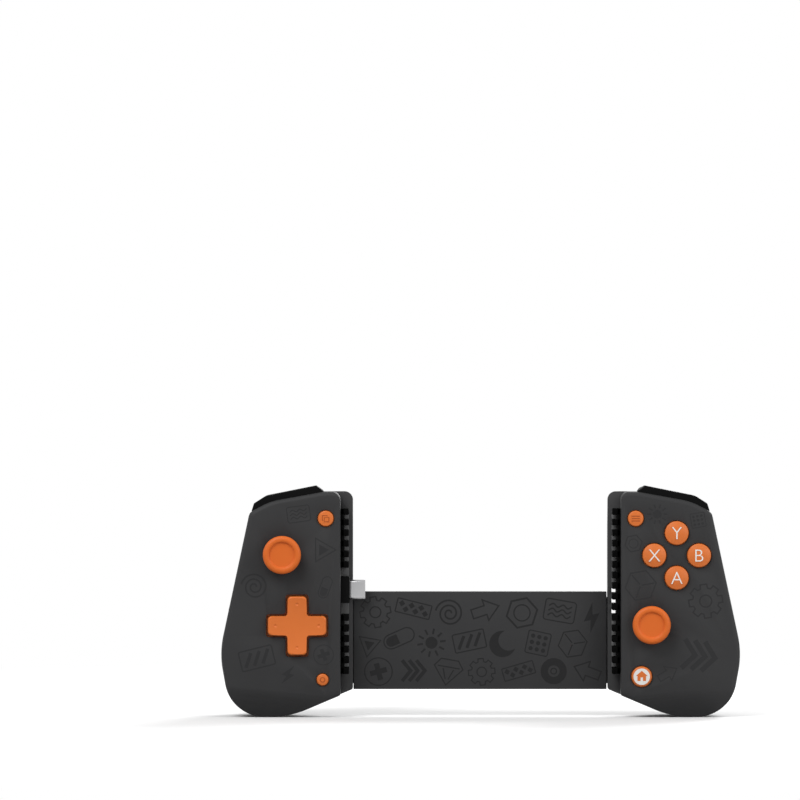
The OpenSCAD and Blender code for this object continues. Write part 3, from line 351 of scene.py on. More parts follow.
def tinted_plastic(name, dark, light, roughness, grain, depth, specular):
    material = bpy.data.materials.new(name)
    material.use_nodes = True
    tree = material.node_tree
    place = add_node(tree, "ShaderNodeTexCoord").outputs["Object"]
    clouds = add_node(tree, "ShaderNodeTexNoise", Vector=place, Scale=45, Detail=4)
    tone = add_node(tree, "ShaderNodeValToRGB", Fac=clouds.outputs["Fac"])
    for i, (position, colour) in enumerate(((0.35, dark), (0.65, light))):
        tone.color_ramp.elements[i].position = position
        tone.color_ramp.elements[i].color = (*colour, 1)
    sparks = add_node(tree, "ShaderNodeTexNoise", Vector=place, Scale=1 / grain).outputs["Fac"]
    low, high = roughness - 0.06, roughness + 0.06
    gloss = add_node(tree, "ShaderNodeMapRange", Value=sparks, To_Min=low, To_Max=high)
    bump = add_node(tree, "ShaderNodeBump", Height=sparks, Strength=0.5, Distance=depth)
    connect(
        tree, tree.nodes["Principled BSDF"], Specular_IOR_Level=specular, Base_Color=tone.outputs["Color"],
        Roughness=gloss.outputs["Result"], Normal=bump.outputs["Normal"],
    )
    return material


def finish_piece(piece, material, body, slot, *stands_for):
    piece.data.materials.clear()
    piece.data.materials.append(material)
    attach(piece, body)
    if stands_for:
        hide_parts(*stands_for)
    return piece


faceplate_satin = tinted_plastic(
    "faceplate_satin", (0.029, 0.029, 0.030), (0.032, 0.032, 0.033), 0.6, 0.18 * mm, 0.01 * mm, 0.2
)
right_faceplate = front_shell(RIGHT)
for node in ("a_button", "b_button", "x_button", "y_button", "menu_button", "home_button"):
    cut(right_faceplate, button_opening(node))
cut(right_faceplate, stick_opening(RIGHT))
left_faceplate = front_shell(LEFT)
plug_base_low, plug_base_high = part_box("usb_plug_base")
fit_gap, window_step = 0.05 * mm, 1.45 * mm
plug_window = block(
    "window",
    (-seat_wall - 4 * mm, plug_base_low.y - fit_gap, plug_base_low.z + window_step),
    (-seat_wall + mm, plug_base_high.y + fit_gap, plug_base_high.z - window_step),
)
dpad_opening = prism("opening", dpad_cross(0.8 * mm, 6), face_front - mm, face_inside + mm)
cut(left_faceplate, plug_window, dpad_opening, stick_opening(LEFT))
for node in ("view_button", "mode_button"):
    cut(left_faceplate, button_opening(node))
for side, shell in ((RIGHT, right_faceplate), (LEFT, left_faceplate)):
    round_edges(shell, 0.18 * mm)
    smooth_faces(shell)
    name = side_names[side]
    finish_piece(shell, faceplate_satin, name + "_half", "faceplate", name + "_front_shell")

# Rear shells
# The palm side of each grip in one moulding: a smooth wing behind the phone's end, a full palm swell with
# diamond knurling moulded in, and a saddle under the trigger. Two screws in deep holes close it.
wing_depth = {RIGHT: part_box("rail_plate")[1].y, LEFT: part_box("bridge_cover")[1].y}
spine_low = np.array((wing_edge + 34.3 * mm, -6 * mm))
spine_high = np.array((wing_edge + 27.3 * mm, 44 * mm))
neck_depth, palm_depth, saddle_rise = 17 * mm, 30.5 * mm, 2.7 * mm
palm_height, palm_fade = spine_low[1], 28 * mm
neck_height = 28 * mm
knurl_pitch, knurl_height = 1.25 * mm, 0.3 * mm
palm_sink = knurl_height + 0.1 * mm
parting_gap = 0.12 * mm
rim_round, inner_round = 4.5 * mm, 0.5 * mm
screw_places = [(wing_edge + 42 * mm, 22 * mm), (wing_edge + 37.5 * mm, -17 * mm)]
screw_recess, screw_boss, screw_seat, screw_hole = 2.5 * mm, 4 * mm, 7 * mm, 1.3 * mm
lug_half, lug_room = 12.7 * mm, 9 * mm
behind_palm = 40 * mm


def crown(z):
    palm = (palm_depth - neck_depth) * math.exp(-(((z - palm_height) / palm_fade) ** 2))
    saddle = saddle_rise * smooth_step((z - neck_height) / (spine_high[1] - neck_height))
    return neck_depth + palm + saddle


def between(start, end, count):
    return [start + (end - start) * i / (count + 1) for i in range(1, count + 1)]


def rim_points(edge, margin, fine):
    corners = inset(grip_corners(edge), margin)
    rows = np.linspace(0, 1, 9 * fine + 1)
    foot = rounded_corner(corners, 0, 3)
    sweep = rounded_corner(corners, 1, 5 * fine)
    ball_end = rounded_corner(corners, 2, 8 * fine)
    bend = rounded_corner(corners, 3, 3 * fine)
    side_top = rounded_corner(corners, 4, 4)[0]
    run = between(foot[-1], sweep[0], 4 * fine)
    shoulder = rounded_corner(corners, 4, 4 * fine)
    for i in (5, 6, 7):
        turn = rounded_corner(corners, i, 4 * fine)
        shoulder += between(shoulder[-1], turn[0], 4 * fine) + turn

    def wing_share(x, fade):
        return 1 - smooth_step((x - wing_edge) / fade)

    rims = []
    for i, t in enumerate(rows):
        x, z = bend[-1] + (side_top - bend[-1]) * (i + 0.5) / len(rows)
        rims.append((x, z, t, 0, rim_round))
    for x, z in shoulder:
        rims.append((x, z, 1, wing_share(x, 25 * mm), rim_round))
    inner_side = between(shoulder[-1], np.array((corners[0][0], spine_high[1])), 4 * fine)
    for i, (x, z) in enumerate(inner_side, 1):
        sharpen = smooth_step(i / len(inner_side))
        rims.append((x, z, 1, 1, rim_round + (inner_round - rim_round) * sharpen))
    for t in rows[::-1]:
        rims.append((corners[0][0], (spine_low + (spine_high - spine_low) * t)[1], t, 1, inner_round))
    for x, z in [*foot, *run, *sweep, *ball_end, *bend]:
        rims.append((x, z, 0, wing_share(x, 27 * mm), rim_round))
    return rims


def arch(rim, steps, depth, wing):
    x, z, t, share, radius = rim
    top = spine_low + (spine_high - spine_low) * t
    reach = np.linalg.norm(top - np.array((x, z)))
    bend = max(3, round(0.3 * steps))
    points = []
    for k in range(steps):
        turn = math.pi / 2 * k / steps
        full = np.array((1 - math.cos(turn) ** 0.8, depth * math.sin(turn) ** 0.8))
        if k == 0:
            flat = np.zeros(2)
        elif k <= bend:
            lean = math.pi / 2 * (k - 1) / (bend - 1)
            run_in = radius / reach * (1 - math.cos(lean))
            flat = np.array((run_in, wing - radius + radius * math.sin(lean)))
        else:
            s = radius / reach + (1 - radius / reach) * (k - bend) / (steps - bend)
            flat = np.array((s, wing + (depth - wing) * smooth_step((s - 0.16) / 0.84)))
        points.append(full + (flat - full) * share)
    return points, top


def palm_dome(name, side, edge, margin, base, fine, sink):
    rims = rim_points(edge, margin, fine)
    steps, count = 10 * fine, len(rims)
    points, tops = [], {}
    for rim in rims:
        top_z = (spine_low + (spine_high - spine_low) * rim[2])[1]
        depth = crown(top_z) - margin - sink
        bow, top = arch(rim, steps, depth, wing_depth[side] - margin)
        for k, (share, y) in enumerate(bow):
            x, z = np.array(rim[:2]) + (top - np.array(rim[:2])) * share
            points.append((side * x, base if k == 0 else y, z))
        tops[rim[2]] = (side * top[0], depth, top[1])
    top_index = {}
    for t, spot in tops.items():
        top_index[t] = len(points)
        points.append(spot)
    faces = [[i * steps for i in range(count)]]
    for i in range(count):
        after = (i + 1) % count
        for k in range(steps - 1):
            a, b = i * steps + k, after * steps + k
            faces.append((a, b, b + 1, a + 1))
        a, b = i * steps + steps - 1, after * steps + steps - 1
        here, there = top_index[rims[i][2]], top_index[rims[after][2]]
        faces.append((a, b, here) if here == there else (a, b, there, here))
    return new_piece(name, points, faces)


def rear_shell(side):
    shell = palm_dome(side_names[side] + "_palm", side, wing_edge, outline_gap, parting_gap, 4, palm_sink)
    hollow = palm_dome("hollow", side, seat_wall, shell_wall, -mm, 1, palm_sink)
    for x, z in screw_places:
        cut(hollow, drum("boss", (side * x, z), screw_boss, mm, behind_palm))
    low, high = (-lug_half, 0, key_slot_low), (lug_half, lug_room, key_slot_high)
    cut(shell, hollow, bumper_slot(side), block("lug_slot", low, high, on_shoulder(side)))
    for x, z in screw_places:
        cut(shell, drum("recess", (side * x, z), screw_recess, screw_seat, behind_palm))
        cut(shell, drum("hole", (side * x, z), screw_hole, -mm, behind_palm))
    return shell


right_palm = rear_shell(RIGHT)
tray_low, tray_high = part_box("rail_tray")
tongue = block(
    "tongue",
    (wing_edge - mm, tray_low.y - fit_gap, tray_low.z - fit_gap),
    (tray_high.x + fit_gap, tray_high.y + fit_gap, 9 * mm + fit_gap),
)
cut(right_palm, tongue)
rib_pitch, rib_height, rib_reach, pad_back = 4.46 * mm, 2.7 * mm, 3.4 * mm, 1.5 * mm
pad_foot, pad_top = (corner.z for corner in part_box("right_pad"))
for i in (7, 8, 9):
    low = (seat_wall - rib_reach, -mm, pad_top - (i + 1) * rib_pitch)
    high = (seat_wall - pad_back, 12 * mm, pad_top - i * rib_pitch - rib_height)
    cut(right_palm, block("sound_slot", low, high))
left_palm = rear_shell(LEFT)
plate_back, cover_wall = 1.6 * mm, 1.8 * mm
rail_room = block(
    "rail_room",
    (tray_low.x - 3 * mm, plate_back, -bridge_half + cover_wall),
    (-wing_edge + mm, wing_depth[LEFT] - cover_wall, bridge_half - cover_wall),
)
wave_step, wave_half, seam_gap = 2.6 * mm, 6 * mm, 0.15 * mm


def wave(z):
    return wave_step * smooth_step((z + wave_half) / (2 * wave_half))


wave_heights = np.linspace(-bridge_half - mm, bridge_half + seam_gap, 81)
wave_outline = [(wing_edge - mm, wave_heights[0])]
wave_outline += [(wing_edge + wave(z), z) for z in wave_heights]
wave_outline.append((wing_edge - mm, wave_heights[-1]))
cover_room = prism("cover_room", wave_outline, plate_back, wing_depth[LEFT] + mm, LEFT)
cut(left_palm, rail_room, cover_room)


# The rear shells' plastic with painted light: a lighter grey is mixed into the base colour on the rear of the
# wings and on the notch floors between the comb ribs.
def shell_plastic(name):
    material = tinted_plastic(
        name, (0.030, 0.030, 0.031), (0.034, 0.034, 0.035), 0.48, 0.2 * mm, 0.01 * mm, 0.3
    )
    tree = material.node_tree
    link = tree.links.new
    shader = tree.nodes["Principled BSDF"]
    tone = shader.inputs["Base Color"].links[0].from_node
    place = add_node(tree, "ShaderNodeTexCoord").outputs["Object"]
    spot = add_node(tree, "ShaderNodeSeparateXYZ", Vector=place)

    def result_of(operation, first, *others):
        node = add_node(tree, "ShaderNodeMath")
        node.operation = operation
        link(first, node.inputs[0])
        for i, other in enumerate(others, 1):
            if isinstance(other, float):
                node.inputs[i].default_value = other
            else:
                link(other, node.inputs[i])
        return node.outputs[0]

    # Painted light: the notch floors between the comb ribs lie in the seat wall's shadow, and they get the
    # lighter grey so that they read as unshadowed.
    beside = result_of("ABSOLUTE", spot.outputs["X"])
    in_width = result_of("COMPARE", beside, seat_wall - rib_reach / 2, rib_reach / 2)
    pad_middle, pad_half = (pad_top + pad_foot) / 2, (pad_top - pad_foot) / 2
    in_height = result_of("COMPARE", spot.outputs["Z"], pad_middle, pad_half)
    in_front = result_of("LESS_THAN", spot.outputs["Y"], 1.5 * mm)
    painted_light_between_ribs = result_of("MULTIPLY", result_of("MULTIPLY", in_width, in_height), in_front)
    # The wing attribute carries the painted light on the rear of the wings; the 0.13 grey below is the
    # painted light colour.
    wing = add_node(tree, "ShaderNodeAttribute")
    wing.attribute_name = "wing"
    painted_light_mix = add_node(tree, "ShaderNodeMix")
    painted_light_mix.data_type = "RGBA"
    painted_light_mix.inputs[7].default_value = (0.13, 0.13, 0.131, 1)
    link(result_of("MAXIMUM", wing.outputs["Fac"], painted_light_between_ribs), painted_light_mix.inputs[0])
    link(tone.outputs["Color"], painted_light_mix.inputs[6])
    link(painted_light_mix.outputs[2], shader.inputs["Base Color"])
    return material


palm_plastic = shell_plastic("palm_plastic")
# Painted shadow: the studs are coloured darker than the shell they are moulded with, standing in for the
# darkness that falls between the studs.
knurl_plastic = tinted_plastic(
    "knurl_plastic", (0.022, 0.022, 0.023), (0.028, 0.028, 0.029), 0.42, 0.2 * mm, 0.006 * mm, 0.35
)
for side, shell in ((RIGHT, right_palm), (LEFT, left_palm)):
    round_edges(shell, 0.18 * mm)
    smooth_faces(shell)
    # Painted light: vertices toward the back of the wing, where it faces the back lamp, get a share of the
    # lighter grey, which fades out toward the palm swell.
    painted_wing_light = shell.data.attributes.new("wing", "FLOAT", "POINT")
    for i, vertex in enumerate(shell.data.vertices):
        inner = 1 - smooth_step((side * vertex.co.x - wing_edge - 8 * mm) / (10 * mm))
        behind = smooth_step((vertex.co.y - 3 * mm) / (4 * mm))
        painted_wing_light.data[i].value = float(inner * behind)
    name = side_names[side]
    finish_piece(shell, palm_plastic, name + "_half", "grip", name + "_rear_shell")

# Palm knurling
# Small four-sided studs in staggered rows over the palm swell, moulded with the rear shell, smaller at the
# edges of the field. A thin raised line crosses them over the upper screw and runs down the inner flank.
palm_axis, far_out = wing_edge + 33 * mm, 80 * mm
crest_line = wing_edge + 32 * mm
field_top, field_foot, field_arch = 39 * mm, -33 * mm, 9 * mm
field_middle, field_half = 28 * mm, 16 * mm
inner_edge, inner_lean = 12.5 * mm, 9 * mm


def palm_mask(spot, side):
    x, y, z = side * spot[0] - wing_edge, spot[1], spot[2]
    arch_top = field_top - field_arch * ((x - field_middle) / field_half) ** 2
    top = 1 - smooth_step((z - arch_top) / (4 * mm))
    bottom = smooth_step((z - field_foot) / (7 * mm))
    outer = smooth_step((y - 3.5 * mm) / (4 * mm))
    border = inner_edge + inner_lean * (max(z, 0) / (45 * mm)) ** 1.5
    inner = smooth_step((x - border) / (2.8 * mm))
    return top * bottom * outer * inner


def new_tree(name, *inputs):
    tree = bpy.data.node_groups.new(name, "GeometryNodeTree")
    keys = {}
    for label, kind in inputs:
        socket = tree.interface.new_socket(label, in_out="INPUT", socket_type="NodeSocket" + kind)
        keys[label] = socket.identifier
    tree.interface.new_socket("Made", in_out="OUTPUT", socket_type="NodeSocketGeometry")
    return tree, keys, tree.nodes.new("NodeGroupInput").outputs


def end_tree(tree, given, geometry):
    real = add_node(tree, "GeometryNodeRealizeInstances", Geometry=geometry).outputs["Geometry"]
    paint = add_node(tree, "GeometryNodeSetMaterial", Geometry=real, Material=given["Finish"])
    add_node(tree, "NodeGroupOutput", Made=paint.outputs["Geometry"])


def stud_tree():
    tree, keys, given = new_tree(
        "palm_studs",
        ("Places", "Geometry"), ("Half width", "Float"), ("Height", "Float"), ("Finish", "Material"),
    )
    stud = add_node(
        tree, "GeometryNodeMeshCone",
        Vertices=4, Radius_Top=0, Radius_Bottom=given["Half width"], Depth=given["Height"],
    )
    told = {}
    for label in ("lean", "size"):
        attribute = add_node(tree, "GeometryNodeInputNamedAttribute", Name=label)
        attribute.data_type = "FLOAT_VECTOR"
        told[label] = attribute.outputs["Attribute"]
    turn = add_node(tree, "FunctionNodeEulerToRotation", Euler=told["lean"])
    spread = add_node(
        tree, "GeometryNodeInstanceOnPoints", Points=given["Places"], Instance=stud.outputs["Mesh"],
        Rotation=turn.outputs["Rotation"], Scale=told["size"],
    )
    end_tree(tree, given, spread.outputs["Instances"])
    return tree, keys


def bead_tree():
    tree, keys, given = new_tree(
        "palm_bead", ("Path", "Geometry"), ("Radius", "Float"), ("Finish", "Material")
    )
    line = add_node(tree, "GeometryNodeMeshToCurve", Mesh=given["Path"])
    ring = add_node(tree, "GeometryNodeCurvePrimitiveCircle", Resolution=10, Radius=given["Radius"])
    bead = add_node(
        tree, "GeometryNodeCurveToMesh",
        Curve=line.outputs["Curve"], Profile_Curve=ring.outputs["Curve"], Fill_Caps=True,
    )
    end_tree(tree, given, bead.outputs["Mesh"])
    return tree, keys


def grow(piece, tree, keys, **values):
    modifier = piece.modifiers.new(tree.name, "NODES")
    modifier.node_group = tree
    for label, value in values.items():
        modifier[keys[label.replace("_", " ")]] = value
    return settle(piece)


def surface_of(shell):
    return BVHTree.FromPolygons(
        [v.co.copy() for v in shell.data.vertices], [tuple(p.vertices) for p in shell.data.polygons]
    )


def palm_spot(surface, side, turn, z):
    ray = Vector((side * math.cos(turn), math.sin(turn), 0))
    return surface.ray_cast(Vector((side * palm_axis, 0, z)) + ray * far_out, -ray)[:2]


def hole_distance(spot, side):
    return min(math.hypot(side * spot[0] - x, spot[2] - z) for x, z in screw_places) - screw_recess


def palm_section(surface, side, z):
    section = []
    for turn in np.radians(np.linspace(2, 178, 265)):
        spot, normal = palm_spot(surface, side, turn, z)
        if spot is not None and hole_distance(spot, side) > 0.2 * mm:
            section.append((np.array(spot), np.array(normal)))
    return section


def stud_places(surface, side):
    places, leans, sizes = [], [], []
    crown_rays = slice(100, 160)
    z, row = 42 * mm, 0
    while z > lobe[1] + mm:
        section = palm_section(surface, side, z)
        spots = np.array([s for s, _ in section])
        normals = np.array([n for _, n in section])
        along = np.concatenate(([0], np.cumsum(np.linalg.norm(np.diff(spots, axis=0), axis=1))))
        off_crest = side * spots[:, 0] - crest_line
        nearest = np.argmin(np.abs(off_crest))
        crest = along[nearest] + off_crest[nearest]
        first = crest % knurl_pitch + (knurl_pitch / 2 if row % 2 else 0)
        for a in np.arange(first, along[-1], knurl_pitch):
            spot = np.array([np.interp(a, along, spots[:, c]) for c in range(3)])
            normal = Vector([np.interp(a, along, normals[:, c]) for c in range(3)]).normalized()
            grow_share = palm_mask(spot, side)
            if grow_share < 0.04 or hole_distance(spot, side) < 0.5 * mm or normal.y < -0.1:
                continue
            across = Vector((normal.y, -normal.x, 0)).normalized()
            up = normal.cross(across)
            slope = max(0.35, math.hypot(normal.x, normal.y))
            places.append(spot)
            leans.append(Matrix((across, up, normal)).transposed().to_euler())
            sizes.append((1, 1 / slope if slope > 0.5 else 1, grow_share))
        slope = np.median(np.hypot(normals[crown_rays, 0], normals[crown_rays, 1]))
        z -= knurl_pitch / 2 * max(0.45, slope)
        row += 1
    return places, leans, sizes


bead_turns = (6, 25, 45, 62, 80, 98, 114, 127, 137, 145, 151, 155)
bead_heights = (10, 15.5, 22, 26.2, 28, 27.2, 24, 18.5, 11, 2, -8, -18)
bead_radius = 0.36 * mm


def bead_path(surface, side):
    path = []
    for s in np.linspace(0, len(bead_turns) - 1, 140):
        whole = min(int(s), len(bead_turns) - 2)
        part = s - whole
        weights = np.array((
            -part / 2 + part ** 2 - part ** 3 / 2, 1 - 2.5 * part ** 2 + 1.5 * part ** 3,
            part / 2 + 2 * part ** 2 - 1.5 * part ** 3, -part ** 2 / 2 + part ** 3 / 2,
        ))
        near = [min(max(whole + j, 0), len(bead_turns) - 1) for j in (-1, 0, 1, 2)]
        turn = weights @ np.array([bead_turns[j] for j in near])
        height = weights @ np.array([bead_heights[j] for j in near])
        spot, normal = palm_spot(surface, side, math.radians(turn), height * mm)
        rise = 0.55 if s > 0.5 else -0.6
        path.append(spot + normal * bead_radius * rise)
    return path


studs, stud_keys = stud_tree()
bead, bead_keys = bead_tree()
for side, shell in ((RIGHT, right_palm), (LEFT, left_palm)):
    name = side_names[side]
    surface = surface_of(shell)
    places, leans, sizes = stud_places(surface, side)
    knurl = new_piece(name + "_knurl", places, [])
    for label, values in (("lean", leans), ("size", sizes)):
        attribute = knurl.data.attributes.new(label, "FLOAT_VECTOR", "POINT")
        attribute.data.foreach_set("vector", np.array(values, dtype=np.float32).ravel())
    grow(knurl, studs, stud_keys, Half_width=knurl_pitch / 2, Height=knurl_height, Finish=knurl_plastic)
    finish_piece(knurl, knurl_plastic, name + "_half", "grip")
    path = bead_path(surface, side)
    line = new_piece(name + "_palm_line", path, [], [(i, i + 1) for i in range(len(path) - 1)])
    grow(line, bead, bead_keys, Radius=bead_radius, Finish=palm_plastic)
    smooth_faces(line, 60)
    finish_piece(line, palm_plastic, name + "_half", "grip")

# Case screws
# Four bright steel screws with a cross recess, deep in the holes of the rear shells.
# They reach into bosses of the front shells and hold the two halves of each grip together.


def brushed_steel(name, dark, light, roughness):
    material = tinted_plastic(name, dark, light, roughness, 0.3 * mm, 0.004 * mm, 0.5)
    material.node_tree.nodes["Principled BSDF"].inputs["Metallic"].default_value = 1
    return material


screw_steel = brushed_steel("screw_steel", (0.45, 0.45, 0.46), (0.55, 0.55, 0.56), 0.35)


def paint_nodes(material, *names):
    for name in names:
        nodes[name].data.materials.clear()
        nodes[name].data.materials.append(material)


paint_nodes(screw_steel, "right_case_screws", "left_case_screws")

# Comb pads
# Soft black rubber pads with a row of ribs that the phone's ends lean on, moulded flat and glued to the
# seat walls. The left one leaves its middle free for the plug.


def comb_tree():
    tree, keys, given = new_tree(
        "comb_ribs",
        ("Rib", "Object"), ("Count", "Int"), ("First", "Vector"), ("Pitch", "Vector"), ("Finish", "Material"),
    )
    row = add_node(
        tree, "GeometryNodeMeshLine",
        Count=given["Count"], Start_Location=given["First"], Offset=given["Pitch"],
    )
    shape = add_node(tree, "GeometryNodeObjectInfo", Object=given["Rib"]).outputs["Geometry"]
    spread = add_node(
        tree, "GeometryNodeInstanceOnPoints", Points=row.outputs["Mesh"], Instance=shape
    )
    end_tree(tree, given, spread.outputs["Instances"])
    return tree, keys


pad_rubber = tinted_plastic(
    "pad_rubber", (0.0014, 0.0014, 0.0014), (0.0022, 0.0022, 0.0022), 0.7, 0.25 * mm, 0.02 * mm, 0.03
)
pad_front, pad_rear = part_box("right_pad")[0].y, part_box("right_pad")[1].y
comb, comb_keys = comb_tree()
rib = block(
    "rib",
    (-rib_reach / 2, (pad_front - pad_rear) / 2, -rib_height / 2),
    (rib_reach / 2, (pad_rear - pad_front) / 2, rib_height / 2),
)
round_edges(rib, 0.22 * mm, 3)
smooth_faces(rib, 60)


def join(target, *others):
    merged = bmesh.new()
    for piece in (target, *others):
        merged.from_mesh(piece.data)
    merged.to_mesh(target.data)
    merged.free()
    for piece in others:
        bpy.data.objects.remove(piece)
    return target


def comb_pad(name, side, first, count):
    top = pad_top - first * rib_pitch
    start = (side * (seat_wall - rib_reach / 2), (pad_front + pad_rear) / 2, top - rib_height / 2)
    ribs = grow(
        new_piece(name, [], []), comb, comb_keys,
        Rib=rib, Count=count, First=start, Pitch=(0, 0, -rib_pitch), Finish=pad_rubber,
    )
    low = top - (count - 1) * rib_pitch - rib_height
    inner, outer = sorted((side * (seat_wall - pad_back), side * seat_wall))
    strip = block("strip", (inner, pad_front, low), (outer, pad_rear, top))
    round_edges(strip, 0.3 * mm, 3)
    smooth_faces(strip, 60)
    return join(ribs, strip)


right_pad = comb_pad("right_comb", RIGHT, 0, 16)
finish_piece(right_pad, pad_rubber, "right_half", "pad_rubber", "right_pad")
left_pad = join(comb_pad("left_comb", LEFT, 0, 6), comb_pad("lower_comb", LEFT, 10, 6))
finish_piece(left_pad, pad_rubber, "left_half", "pad_rubber", "left_pads")
bpy.data.objects.remove(rib)

# Plug
# The plug that goes into the phone: a drawn steel shell with its tongue, moulded into a black block.
# The block comes through a window of the left seat wall.


def copy_node(node, name):
    merged = bmesh.new()
    merged.from_mesh(nodes[node].data)
    bmesh.ops.remove_doubles(merged, verts=merged.verts, dist=0.0005 * mm)
    bmesh.ops.dissolve_limit(
        merged, angle_limit=math.radians(0.5), verts=merged.verts, edges=merged.edges
    )
    mesh = bpy.data.meshes.new(name)
    merged.to_mesh(mesh)
    merged.free()
    piece = bpy.data.objects.new(name, mesh)
    scene.collection.objects.link(piece)
    return piece


plug_steel = brushed_steel("plug_steel", (0.36, 0.36, 0.365), (0.42, 0.42, 0.425), 0.3)
plug = smooth_faces(round_edges(copy_node("usb_plug", "plug"), 0.08 * mm))
finish_piece(plug, plug_steel, "left_half", "steel", "usb_plug")
key_plastic = tinted_plastic(
    "key_plastic", (0.0018, 0.0018, 0.0019), (0.0026, 0.0026, 0.0027), 0.5, 0.2 * mm, 0.006 * mm, 0.06
)
plug_block = smooth_faces(round_edges(copy_node("usb_plug_base", "plug_block"), 0.4 * mm, 3))
finish_piece(plug_block, key_plastic, "left_half", "black_plastic", "usb_plug_base")

# Bridge plate
# The flat front of the bridge that the phone's back lies on, moulded in the faceplates' dark plastic.
# Its long edges are held by the bridge cover.
bridge_face = smooth_faces(round_edges(copy_node("bridge_plate", "bridge_face"), 0.3 * mm, 3))
finish_piece(bridge_face, faceplate_satin, "left_half", "faceplate", "bridge_plate")

# Prints
# Tone on tone figures printed on the bridge and, fainter, on the faceplates: plain geometric signs in loose
# rows, a few hundredths of a millimetre thick.
print_front, print_back = 0.02 * mm, 0.1 * mm
line_width = 0.5
centre = (0, 0)


def sweep_line(points, half):
    points = [np.array(p, dtype=float) for p in points]
    last = len(points) - 1
    left, right = [], []
    for i, p in enumerate(points):
        run_in = unit(p - points[i - 1]) if i else unit(points[1] - p)
        run_out = unit(points[i + 1] - p) if i < last else run_in
        turn = (run_in + run_out) / (1 + run_in @ run_out)
        aside = np.array((-turn[1], turn[0])) * half
        left.append(p + aside)
        right.append(p - aside)
    return left + right[::-1]


def solid(points):
    return [points]


def band(points, width=line_width):
    corners = [(p[0], p[1], 0) for p in points]
    return [[p[:2] for p in inset(corners, side * width / 2)] for side in (-1, 1)]


def stroke(points, width=line_width):
    return [sweep_line(points, width / 2)]


def box_outline(half_width, half_height, radius):
    turns = ((-1, -1), (1, -1), (1, 1), (-1, 1))
    return rounded([(x * half_width, z * half_height, radius) for x, z in turns], 5)


def arc(middle_x, radius, start, end, count):
    turns = np.radians(np.linspace(start, end, count))
    return [(middle_x + radius * math.cos(t), radius * math.sin(t)) for t in turns]


def gear_outline():
    tooth = ((-16, 4.6), (-11, 6), (11, 6), (16, 4.6))
    teeth = [(45 * i + lean, r) for i in range(8) for lean, r in tooth]
    return [(r * math.cos(math.radians(t)), r * math.sin(math.radians(t))) for t, r in teeth]


def wave_line(z):
    return [(x, z + 0.6 * math.sin(1.5 * x)) for x in np.linspace(-4.8, 4.8, 33)]


def spoke(turn, start, end):
    return [(r * math.cos(math.radians(turn)), r * math.sin(math.radians(turn))) for r in (start, end)]


signs = {
    "gear": [band(gear_outline()), band(circle(centre, 2.1, 32))],
    "nut": [band(circle(centre, 6, 6), 0.7), band(circle(centre, 3.1, 32))],
    "disc": [band(circle(centre, 3.9, 48), 3), band(circle(centre, 1.2, 24))],
    "bolt": [solid([(1.6, 6), (-3.4, -0.9), (-0.6, -0.9), (-1.8, -6), (3.4, 1.1), (0.6, 1.1)])],
    "chevrons": [stroke([(x - 2, 4.4), (x + 1.6, 0), (x - 2, -4.4)], 1.5) for x in (-3, 0, 3)],
    "waves": [band(box_outline(6.4, 4.4, 1.2)), *(stroke(wave_line(z), 0.6) for z in (-2, 0, 2))],
    "checker": [band(box_outline(7, 2.8, 0.4))] + [
        solid(circle((2 * i - 5, 2 * j - 1), 1.3, 4)) for i in range(6) for j in range(2) if (i + j) % 2
    ],
    "cube": [band(circle(centre, 6, 6))] + [stroke(spoke(t, 0.5, 5.2)) for t in (0, 120, 240)],
    "delta": [band(circle(centre, 6, 3)), solid(circle(centre, 2.9, 3))],
    "capsule": [
        band(box_outline(6.4, 2.9, 2.89)),
        solid([(-0.4, 2), *arc(-3.5, 2, 90, 270, 17), (-0.4, -2)]),
    ],
    "spiral": [stroke([
        ((0.7 + 0.32 * t) * math.cos(t), (0.7 + 0.32 * t) * math.sin(t)) for t in np.linspace(0, 15.5, 90)
    ], 0.7)],
    "plus": [band(circle(centre, 5.8, 48)), solid([
        (1.1, -3.6), (1.1, -1.1), (3.6, -1.1), (3.6, 1.1), (1.1, 1.1), (1.1, 3.6),
        (-1.1, 3.6), (-1.1, 1.1), (-3.6, 1.1), (-3.6, -1.1), (-1.1, -1.1), (-1.1, -3.6),
    ])],
    "sun": [solid(circle(centre, 2.5, 40))] + [stroke(spoke(36 * i, 3.6, 5.9), 0.8) for i in range(10)],
    "crescent": [solid([*arc(0, 5.6, 50, 310, 40), *arc(3, 4.33, 276, 84, 32)])],
    "dots": [band(box_outline(5, 5, 0.8))] + [
        solid(circle((2.8 * i, 2.8 * j), 0.95, 16)) for i in (-1, 0, 1) for j in (-1, 0, 1)
    ],
    "arrow": [band([(-6, -2), (0, -2), (0, -4.6), (6, 0), (0, 4.6), (0, 2), (-6, 2)], 0.6)],
    "gem": [
        band([(0, -6), (6, 1.4), (3.6, 4.6), (-3.6, 4.6), (-6, 1.4)]), stroke([(-4.6, 1.5), (4.6, 1.5)]),
        stroke([(-2.2, 0.7), (-0.6, -3.6)]), stroke([(2.2, 0.7), (0.6, -3.6)]),
    ],
    "blinds": [band(box_outline(6.2, 3.6, 0.6))] + [
        stroke([(x - 1.5, -2.4), (x + 1.5, 2.4)], 1.2) for x in (-3.2, 0, 3.2)
    ],
}
